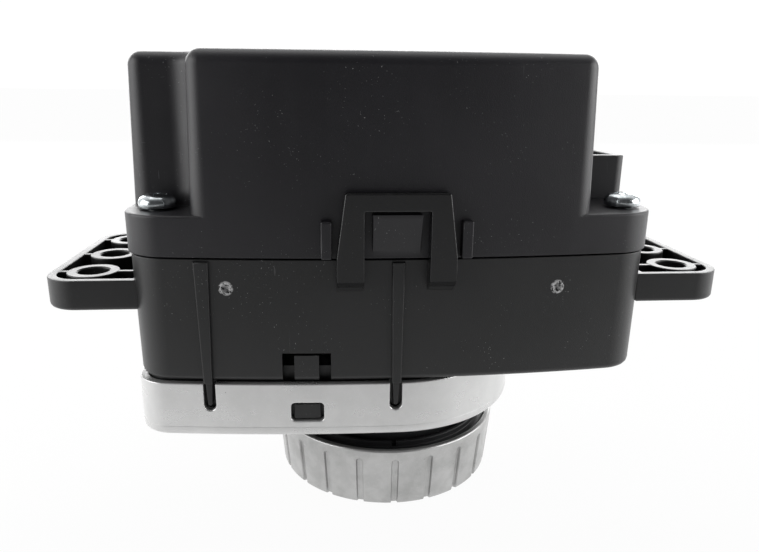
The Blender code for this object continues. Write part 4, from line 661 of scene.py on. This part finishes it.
def cover_screw(node):
    """A turned screw: radius 1.6 + 0.15 cos(2 pi z) along its thread, a domed pan head, and a cross recess."""
    low, high = span(node)
    centre = (low[:2] + high[:2]) / 2
    seat, head, tall = FLANGE_HIGH + GAP, 3.5, 2.5
    turn = np.linspace(0, pi / 2, 13)
    dome = np.column_stack((head * np.sin(turn) ** 0.6, seat + 0.75 + (tall - 0.75) * np.cos(turn) ** 0.9))[::-1]
    thread_z = np.linspace(low[2] + 2.0, seat - 0.6, 88)
    thread = np.column_stack((1.6 + 0.15 * np.cos(thread_z * 2 * pi), thread_z))
    point = [(0.0, low[2]), (0.9, low[2] + 0.9)]
    brim = [(1.75, seat), (head - 0.3, seat), (head - 0.08, seat + 0.1)]
    profile = np.vstack((point, thread, brim, dome))
    screw = turned(node + "_steel", profile, 64, centre)
    arm, blade, floor = 1.9, 0.45, seat + 0.9
    cross = []
    for first, second in ((arm, blade), (blade, arm)):
        outline = rectangle(centre - (first, second), centre + (first, second), 0.3)
        cross.append(loft("recess", outline, [(0.25, floor), (0.0, seat + tall + 1)]))
    return cut(screw, *cross)


# --- Materials ----------------------------------------------------------------------------------------------------


class Wire:
    """A value on a shader socket. Arithmetic on it adds Math nodes."""

    def __init__(self, nodes, socket):
        self.nodes = nodes
        self.socket = socket

    def maths(self, operation, *values):
        return self.nodes.node("ShaderNodeMath", {"operation": operation}, dict(enumerate(values)))

    def __add__(self, other):
        return self.maths("ADD", self, other)

    def __sub__(self, other):
        return self.maths("SUBTRACT", self, other)

    def __rsub__(self, other):
        return self.maths("SUBTRACT", other, self)

    def __mul__(self, other):
        return self.maths("MULTIPLY", self, other)

    def __abs__(self):
        return self.maths("ABSOLUTE", self)

    __radd__ = __add__
    __rmul__ = __mul__

    def between(self, low, high):
        """0 below low, 1 above high, and smooth in between; low may be the greater."""
        values = {"Value": self, "From Min": low, "From Max": high}
        return self.nodes.node("ShaderNodeMapRange", {"interpolation_type": "SMOOTHSTEP"}, values)


class Nodes:
    """A node tree that grows by one method; place is the coordinates that its patterns read."""

    def __init__(self, tree, coordinates):
        self.tree = tree
        self.place = self.node("ShaderNodeTexCoord", {}, {}, coordinates)

    def node(self, kind, settings, values, output=0):
        made = self.tree.nodes.new(kind)
        for key, value in settings.items():
            setattr(made, key, value)
        for socket, value in values.items():
            if isinstance(value, Wire):
                self.tree.links.new(value.socket, made.inputs[socket])
            else:
                made.inputs[socket].default_value = value
        return Wire(self, made.outputs[output])

    def stretched(self, scale, turn=(0.0, 0.0, 0.0)):
        """Object coordinates turned and scaled, for patterns longer one way."""
        return self.node("ShaderNodeMapping", {}, {"Vector": self.place, "Rotation": turn, "Scale": scale})

    def noise(self, scale, detail=2.0, place=None):
        values = {"Vector": place or self.place, "Scale": scale, "Detail": detail, "Roughness": 0.6}
        return self.node("ShaderNodeTexNoise", {}, values)

    def cells(self, scale):
        """Distance to the nearest of a scatter of points."""
        return self.node("ShaderNodeTexVoronoi", {}, {"Vector": self.place, "Scale": scale})

    def axis(self, name):
        """One coordinate of place."""
        return self.node("ShaderNodeSeparateXYZ", {}, {0: self.place}, name)

    def mix(self, factor, first, second):
        """The first colour at factor 0 and the second at 1."""
        values = {0: factor, 6: first, 7: second}  # the Mix node's colours are its inputs 6 and 7, and its output 2
        return self.node("ShaderNodeMix", {"data_type": "RGBA"}, values, 2)


class Finish(Nodes):
    """A material being built: constants go on the shader's own sockets, patterns through set."""

    def __init__(self, name, **constants):
        self.material = bpy.data.materials.new(name)
        self.material.use_nodes = True
        super().__init__(self.material.node_tree, "Object")
        self.shader = self.tree.nodes["Principled BSDF"]
        for socket, value in constants.items():
            self.shader.inputs[socket.replace("_", " ")].default_value = value

    def set(self, socket, value):
        self.tree.links.new(value.socket, self.shader.inputs[socket])

    def relief(self, height, distance, strength):
        """Bump from a height pattern; distance is in metres."""
        values = {"Height": height, "Distance": distance, "Strength": strength}
        self.set("Normal", self.node("ShaderNodeBump", {}, values))


def colour(red, green, blue):
    """An opaque colour for a shader socket."""
    return (red, green, blue, 1.0)


def moulded_plastic(name, dark, light, rough, gate_mark_highlights=(), gloss_and_painted_shade_beyond=None):
    """Black satin plastic: fine eroded grain, cloudy sheen, settled dust and hairline scratches.

    Rough pale rings on the given gate marks are painted highlights; beyond the given depth on either side, the
    plastic is glossy, darkened by painted shade.
    """
    finish = Finish(name, Specular_IOR_Level=0.5)
    cloud = finish.noise(45.0, 3.0)
    flow = finish.noise(1.0, 2.0, finish.stretched((260.0, 260.0, 30.0)))
    grain = finish.noise(5200.0, 2.0)
    dust = finish.noise(3600.0, 1.0).between(0.745, 0.77) * finish.noise(70.0, 1.0).between(0.42, 0.66)
    along = finish.stretched((1500.0, 1500.0, 160.0), (0.25, 0.5, 0.2))
    other = finish.stretched((200.0, 1600.0, 1600.0), (0.1, 0.35, 0.3))
    hair = finish.noise(1.0, 1.0, along).between(0.735, 0.75) + finish.noise(1.0, 1.0, other).between(0.745, 0.76)
    hair = hair * finish.noise(35.0, 1.0).between(0.58, 0.7)
    shade = finish.mix(cloud.between(0.3, 0.75) * 0.6 + grain.between(0.35, 0.7) * 0.4, dark, light)
    shade = finish.mix(dust * 0.6, shade, colour(0.4, 0.4, 0.4))
    shade = finish.mix(hair * 0.15, shade, colour(0.25, 0.25, 0.26))
    roughness = rough + (cloud - 0.5) * 0.16 + (flow - 0.5) * 0.1 + dust * 0.3
    # painted highlight: a pale grey broken ring on each gate mark stands in for the shine on it
    for centre in gate_mark_highlights:
        away = finish.node("ShaderNodeVectorMath", {"operation": "DISTANCE"}, {0: finish.place, 1: centre}, "Value")
        ring = away.between(0.0015, 0.0012) * away.between(0.0002, 0.0007)
        shade = finish.mix(ring * finish.noise(1700.0, 2.0).between(0.38, 0.55), shade, colour(0.45, 0.45, 0.45))
        roughness = roughness - ring * 0.12
    # painted shade: the latches, which stand furthest out, are darkened almost to black; their lower roughness is
    # real gloss
    if gloss_and_painted_shade_beyond:
        proud = abs(finish.axis("Y")).between(gloss_and_painted_shade_beyond, gloss_and_painted_shade_beyond + 0.0003)
        shade = finish.mix(proud * 0.8, shade, colour(0.002, 0.002, 0.0024))
        roughness = roughness - proud * 0.2
    finish.set("Base Color", shade)
    finish.set("Roughness", roughness)
    finish.relief(grain * 0.7 + flow * 0.3, 0.00005, 0.7)
    return finish.material


def silver_paint(name, light, dark, rough, mottle):
    """Satin silver lacquer: fine flake, cloudy mottling, faint smudges and worn spots."""
    finish = Finish(name, Specular_IOR_Level=0.5, Metallic=0.75)
    cloud = finish.noise(70.0, 4.0)
    patch = finish.noise(210.0, 3.0)
    flake = finish.noise(6500.0, 1.0)
    smudge = finish.noise(1.0, 3.0, finish.stretched((90.0, 90.0, 260.0), (0.2, 0.0, 0.4)))
    tone = cloud.between(0.3, 0.7) * 0.55 + patch.between(0.35, 0.65) * 0.45
    shade = finish.mix(tone * mottle, light, dark)
    shade = finish.mix(flake.between(0.62, 0.75) * 0.25, shade, colour(0.9, 0.9, 0.9))
    pits = finish.cells(420.0).between(0.06, 0.03) * finish.noise(60.0, 1.0).between(0.55, 0.62)
    finish.set("Base Color", finish.mix(pits * 0.6, shade, colour(0.08, 0.08, 0.08)))
    finish.set("Roughness", rough + (smudge - 0.5) * 0.22 + (patch - 0.5) * 0.1)
    finish.relief(flake, 0.000008, 0.5)
    return finish.material


def gloss_black(name, rough=0.12, pointer=False):
    """Polished black plastic with faint wipe marks; pointer adds white paint in the groove."""
    finish = Finish(name, Specular_IOR_Level=0.5)
    wipe = finish.noise(1.0, 3.0, finish.stretched((160.0, 30.0, 30.0), (0.0, 0.0, 0.6)))
    shade = finish.mix(finish.noise(60.0, 2.0), colour(0.008, 0.008, 0.009), colour(0.014, 0.014, 0.015))
    if pointer:
        inside = abs(finish.axis("X")).between(0.00075, 0.0007) * finish.axis("Z").between(0.00045, 0.0005)
        along = abs(finish.axis("Y") + 0.0164).between(0.0046, 0.00455)
        shade = finish.mix(inside * along, shade, colour(0.82, 0.82, 0.8))
    finish.set("Base Color", shade)
    finish.set("Roughness", rough + (wipe - 0.5) * 0.15)
    finish.relief(finish.noise(900.0, 2.0), 0.00001, 0.3)
    return finish.material


def plated_metal(name, light, dark, rough):
    """Bright plated or drawn metal: fine lines, dull spots and small pits."""
    finish = Finish(name, Metallic=1.0)
    cloud = finish.noise(900.0, 3.0)
    lines = finish.noise(1.0, 2.0, finish.stretched((500.0, 500.0, 9000.0)))
    finish.set("Base Color", finish.mix(cloud.between(0.3, 0.7), light, dark))
    finish.set("Roughness", rough + (cloud - 0.5) * 0.2 + (lines - 0.5) * 0.12)
    finish.relief(lines * 0.5 + cloud * 0.5, 0.00001, 0.5)
    return finish.material


def plain_plastic(name, light, dark, rough):
    """Small moulded parts: a slow change of tone under a fine grain."""
    finish = Finish(name, Specular_IOR_Level=0.4)
    cloud = finish.noise(300.0, 3.0)
    finish.set("Base Color", finish.mix(cloud.between(0.3, 0.7), light, dark))
    finish.set("Roughness", rough + (cloud - 0.5) * 0.2)
    finish.relief(finish.noise(3600.0, 2.0), 0.00001, 0.4)
    return finish.material


def board_material(name):
    """Green solder mask over copper tracks that run in short straight lengths, with round pads."""
    finish = Finish(name, Specular_IOR_Level=0.5)
    tracks = finish.node("ShaderNodeTexBrick", {"offset": 0.37}, {
        "Vector": finish.place, "Scale": 170.0, "Mortar Size": 0.06, "Mortar Smooth": 0.1,
        "Brick Width": 1.7, "Row Height": 0.42}, "Fac")
    pads = finish.cells(260.0).between(0.16, 0.13)
    mask = finish.mix(tracks, colour(0.01, 0.11, 0.035), colour(0.03, 0.2, 0.07))
    finish.set("Base Color", finish.mix(pads, mask, colour(0.6, 0.5, 0.28)))
    finish.set("Roughness", 0.3 + finish.noise(400.0) * 0.2)
    finish.relief(tracks + pads, 0.00004, 0.5)
    return finish.material


def paint(obj, material):
    """Gives a piece one material; a carried CAD node keeps its mesh and takes the material on its own slot."""
    for index in range(max(1, len(obj.data.materials))):
        if index < len(obj.data.materials):
            obj.data.materials[index] = material
        else:
            obj.data.materials.append(material)


# --- The object ---------------------------------------------------------------------------------------------------


def place_piece(obj, body, nodes, material, sharp=34):
    """Finishes a piece: smooth shading that keeps its edges, its material, its body and the nodes it stands for."""
    obj.data.shade_smooth()
    obj.data.set_sharp_from_angle(angle=radians(sharp))
    obj.data.materials.clear()
    paint(obj, material)
    weighted = obj.modifiers.new("Even shading", "WEIGHTED_NORMAL")
    weighted.keep_sharp = True
    weighted.weight = 60
    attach(obj, body)
    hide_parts(*nodes)


cover_plastic = moulded_plastic("cover plastic", colour(0.0048, 0.0044, 0.0062), colour(0.0085, 0.0078, 0.0104), 0.42)
# centres in metres of the gate marks, where pale rings are painted as their highlights
marks = [(x * MM, -face_y(x) * MM, z * MM) for x, z in GATE_MARKS]
# the latches beyond this half depth are darkened by painted shade in the housing plastic
latch_only = (HALF_DEPTH + 1.0) * MM  # only the latches stand further out than this
housing_plastic = moulded_plastic(
    "housing plastic", colour(0.0048, 0.005, 0.0052), colour(0.0078, 0.008, 0.0084), 0.38, marks, latch_only
)
bezel_silver = silver_paint("bezel silver", colour(0.66, 0.66, 0.655), colour(0.54, 0.54, 0.535), 0.3, 0.5)
knob_silver = silver_paint("knob silver", colour(0.53, 0.53, 0.525), colour(0.35, 0.35, 0.345), 0.34, 0.85)
core_plastic = moulded_plastic("knob plastic", colour(0.01, 0.01, 0.011), colour(0.016, 0.016, 0.017), 0.34)
button_plastic = moulded_plastic("button plastic", colour(0.014, 0.014, 0.015), colour(0.02, 0.02, 0.021), 0.36)
panel_gloss = gloss_black("panel gloss")
face_gloss = gloss_black("knob face gloss", 0.1, True)
zinc = plated_metal("zinc plate", colour(0.62, 0.65, 0.66), colour(0.4, 0.43, 0.44), 0.2)

place_piece(rear_cover(), "body", ["rear_cover"], cover_plastic)
place_piece(housing(), "body", ["housing"], housing_plastic)
place_piece(bezel(), "body", ["bezel"], bezel_silver)
place_piece(front_panel(), "body", ["front_panel"], panel_gloss)
place_piece(button_cap(), "button", ["button_cap"], button_plastic)
place_piece(knob_ring(), "knob", ["knob_ring"], knob_silver)
place_piece(knob_core(), "knob", ["knob_core"], core_plastic)
place_piece(knob_face(), "knob", ["knob_face"], face_gloss)
for number in range(1, 5):
    node = f"cover_screw_{number}"
    place_piece(cover_screw(node), "body", [node], zinc)

steel = plated_metal("steel", colour(0.62, 0.63, 0.64), colour(0.42, 0.43, 0.44), 0.3)
brass = plated_metal("tinned brass", colour(0.85, 0.68, 0.34), colour(0.7, 0.55, 0.28), 0.25)
magnet = plated_metal("nickel plate", colour(0.5, 0.49, 0.47), colour(0.35, 0.34, 0.33), 0.3)
nylon = plain_plastic("natural nylon", colour(0.74, 0.72, 0.64), colour(0.6, 0.58, 0.5), 0.45)
acetal = plain_plastic("white acetal", colour(0.8, 0.8, 0.77), colour(0.7, 0.7, 0.67), 0.4)
black = plain_plastic("black filled plastic", colour(0.012, 0.012, 0.013), colour(0.03, 0.03, 0.032), 0.45)
blue = plain_plastic("blue relay case", colour(0.02, 0.09, 0.3), colour(0.03, 0.13, 0.38), 0.32)
sleeve = plain_plastic("capacitor sleeve", colour(0.03, 0.035, 0.06), colour(0.06, 0.065, 0.1), 0.3)
grey = plain_plastic("grey plastic", colour(0.2, 0.2, 0.21), colour(0.28, 0.28, 0.29), 0.4)
clear = plain_plastic("smoked lens", colour(0.5, 0.5, 0.48), colour(0.62, 0.62, 0.6), 0.15)
lamp = plain_plastic("lamp resin", colour(0.8, 0.72, 0.42), colour(0.85, 0.78, 0.5), 0.25)
board = board_material("circuit board")

carried = {
    steel: ["spindle", "retaining_clip", "detent_ball", "detent_spring", "button_spring", "sensor_pin"]
    + [f"board_screw_{number}" for number in range(1, 5)],
    brass: [f"socket_pin_{number}" for number in range(1, 11)],
    magnet: ["sensor_magnet"],
    nylon: ["drive_gear", "sensor_gear", "detent_wheel"],
    acetal: ["spindle_bush"],
    black: ["position_sensor", "controller_chip", "socket_header"],
    blue: ["relay"],
    sleeve: ["capacitor_1", "capacitor_2"],
    grey: ["button_switch"],
    clear: ["status_lens"],
    lamp: ["status_led"],
    board: ["circuit_board", "button_board"],
}
for material, names in carried.items():
    for name in names:
        paint(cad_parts[name], material)


# --- Floor, light and camera --------------------------------------------------------------------------------------


def pale_floor():
    """A wide matt floor that glows softly, less so in front of the object, so that its near side stays dark."""
    reach = 30.0  # metres, far past what the camera sees
    corners = [(-reach, -reach, 0), (reach, -reach, 0), (reach, reach, 0), (-reach, reach, 0)]
    mesh = bpy.data.meshes.new("floor")
    mesh.from_pydata(corners, [], [(0, 1, 2, 3)])
    floor = bpy.data.objects.new("floor", mesh)
    bpy.context.scene.collection.objects.link(floor)
    finish = Finish("pale floor", Roughness=0.9, Specular_IOR_Level=0.1, Emission_Strength=1.0)
    near = finish.axis("Y").between(-0.16, 0.02)
    finish.set("Base Color", finish.mix(finish.noise(6.0), colour(0.3, 0.3, 0.3), colour(0.34, 0.34, 0.34)))
    finish.set("Emission Color", finish.mix(near, colour(0.14, 0.14, 0.14), colour(0.8, 0.8, 0.8)))
    white = finish.node("ShaderNodeEmission", {}, {"Color": colour(1, 1, 1), "Strength": 0.98})
    seen = finish.node("ShaderNodeLightPath", {}, {}, "Is Camera Ray")
    values = {0: seen * 0.92, 1: Wire(finish, finish.shader.outputs[0]), 2: white}
    surface = finish.tree.nodes["Material Output"].inputs["Surface"]
    finish.tree.links.new(finish.node("ShaderNodeMixShader", {}, values).socket, surface)
    mesh.materials.append(finish.material)


def softbox(name, place, size, power):
    """A rectangular light at place that faces the object."""
    lamp = bpy.data.lights.new(name, "AREA")
    lamp.shape = "RECTANGLE"
    lamp.size, lamp.size_y = size
    lamp.energy = power
    obj = bpy.data.objects.new(name, lamp)
    obj.location = place
    obj.rotation_euler = (Vector((0.0, 0.0, 0.05)) - Vector(place)).to_track_quat("-Z", "Y").to_euler()
    obj.visible_camera = False
    bpy.context.scene.collection.objects.link(obj)


def studio():
    """Softboxes above, behind and at both ends, in a room that is bright behind the object and dim in front."""
    softbox("top softbox", (0.0, 0.25, 0.7), (0.8, 0.6), 1.2)
    softbox("back softbox", (0.0, 0.9, 0.32), (1.8, 0.45), 11.0)
    softbox("right softbox", (0.6, -0.16, 0.18), (0.6, 0.5), 3.6)
    softbox("left softbox", (-0.6, -0.16, 0.2), (0.6, 0.55), 3.4)
    world = bpy.data.worlds.new("studio")
    world.use_nodes = True
    room = Nodes(world.node_tree, "Generated")
    behind = room.axis("Y").between(-0.7, 0.5)
    surround = room.tree.nodes["Background"]
    tone = room.mix(behind, colour(0.08, 0.08, 0.083), colour(0.95, 0.95, 0.96))
    room.tree.links.new(tone.socket, surround.inputs["Color"])
    backdrop = room.node("ShaderNodeBackground", {}, {"Color": colour(1, 1, 1), "Strength": 1.05})
    seen = room.node("ShaderNodeLightPath", {}, {}, "Is Camera Ray")
    both_rooms = room.node("ShaderNodeMixShader", {}, {0: seen, 1: Wire(room, surround.outputs[0]), 2: backdrop})
    room.tree.links.new(both_rooms.socket, room.tree.nodes["World Output"].inputs["Surface"])
    bpy.context.scene.world = world
    bpy.context.scene.view_settings.view_transform = "Standard"


def camera():
    """A camera that looks down on the near side a little from the left, turned by yaw, pitch and roll."""
    yaw, pitch, roll = -0.0868, 0.2771, 0.0111
    right = Vector((cos(yaw), sin(yaw), 0.0))
    ahead = Vector((-sin(yaw) * cos(pitch), cos(yaw) * cos(pitch), -sin(pitch)))
    up = right.cross(ahead)
    across = right * cos(roll) + up * sin(roll)
    upwards = up * cos(roll) - right * sin(roll)
    data = bpy.data.cameras.new("camera")
    data.lens = 31.04
    data.sensor_width = 36.0
    data.clip_start, data.clip_end = 0.01, 50.0
    obj = bpy.data.objects.new("camera", data)
    turn = Matrix((across, upwards, -ahead)).transposed().to_4x4()
    obj.matrix_world = Matrix.Translation(Vector((-14.14, -144.76, 85.34)) * MM) @ turn
    bpy.context.scene.collection.objects.link(obj)
    bpy.context.scene.camera = obj


pale_floor()
studio()
camera()
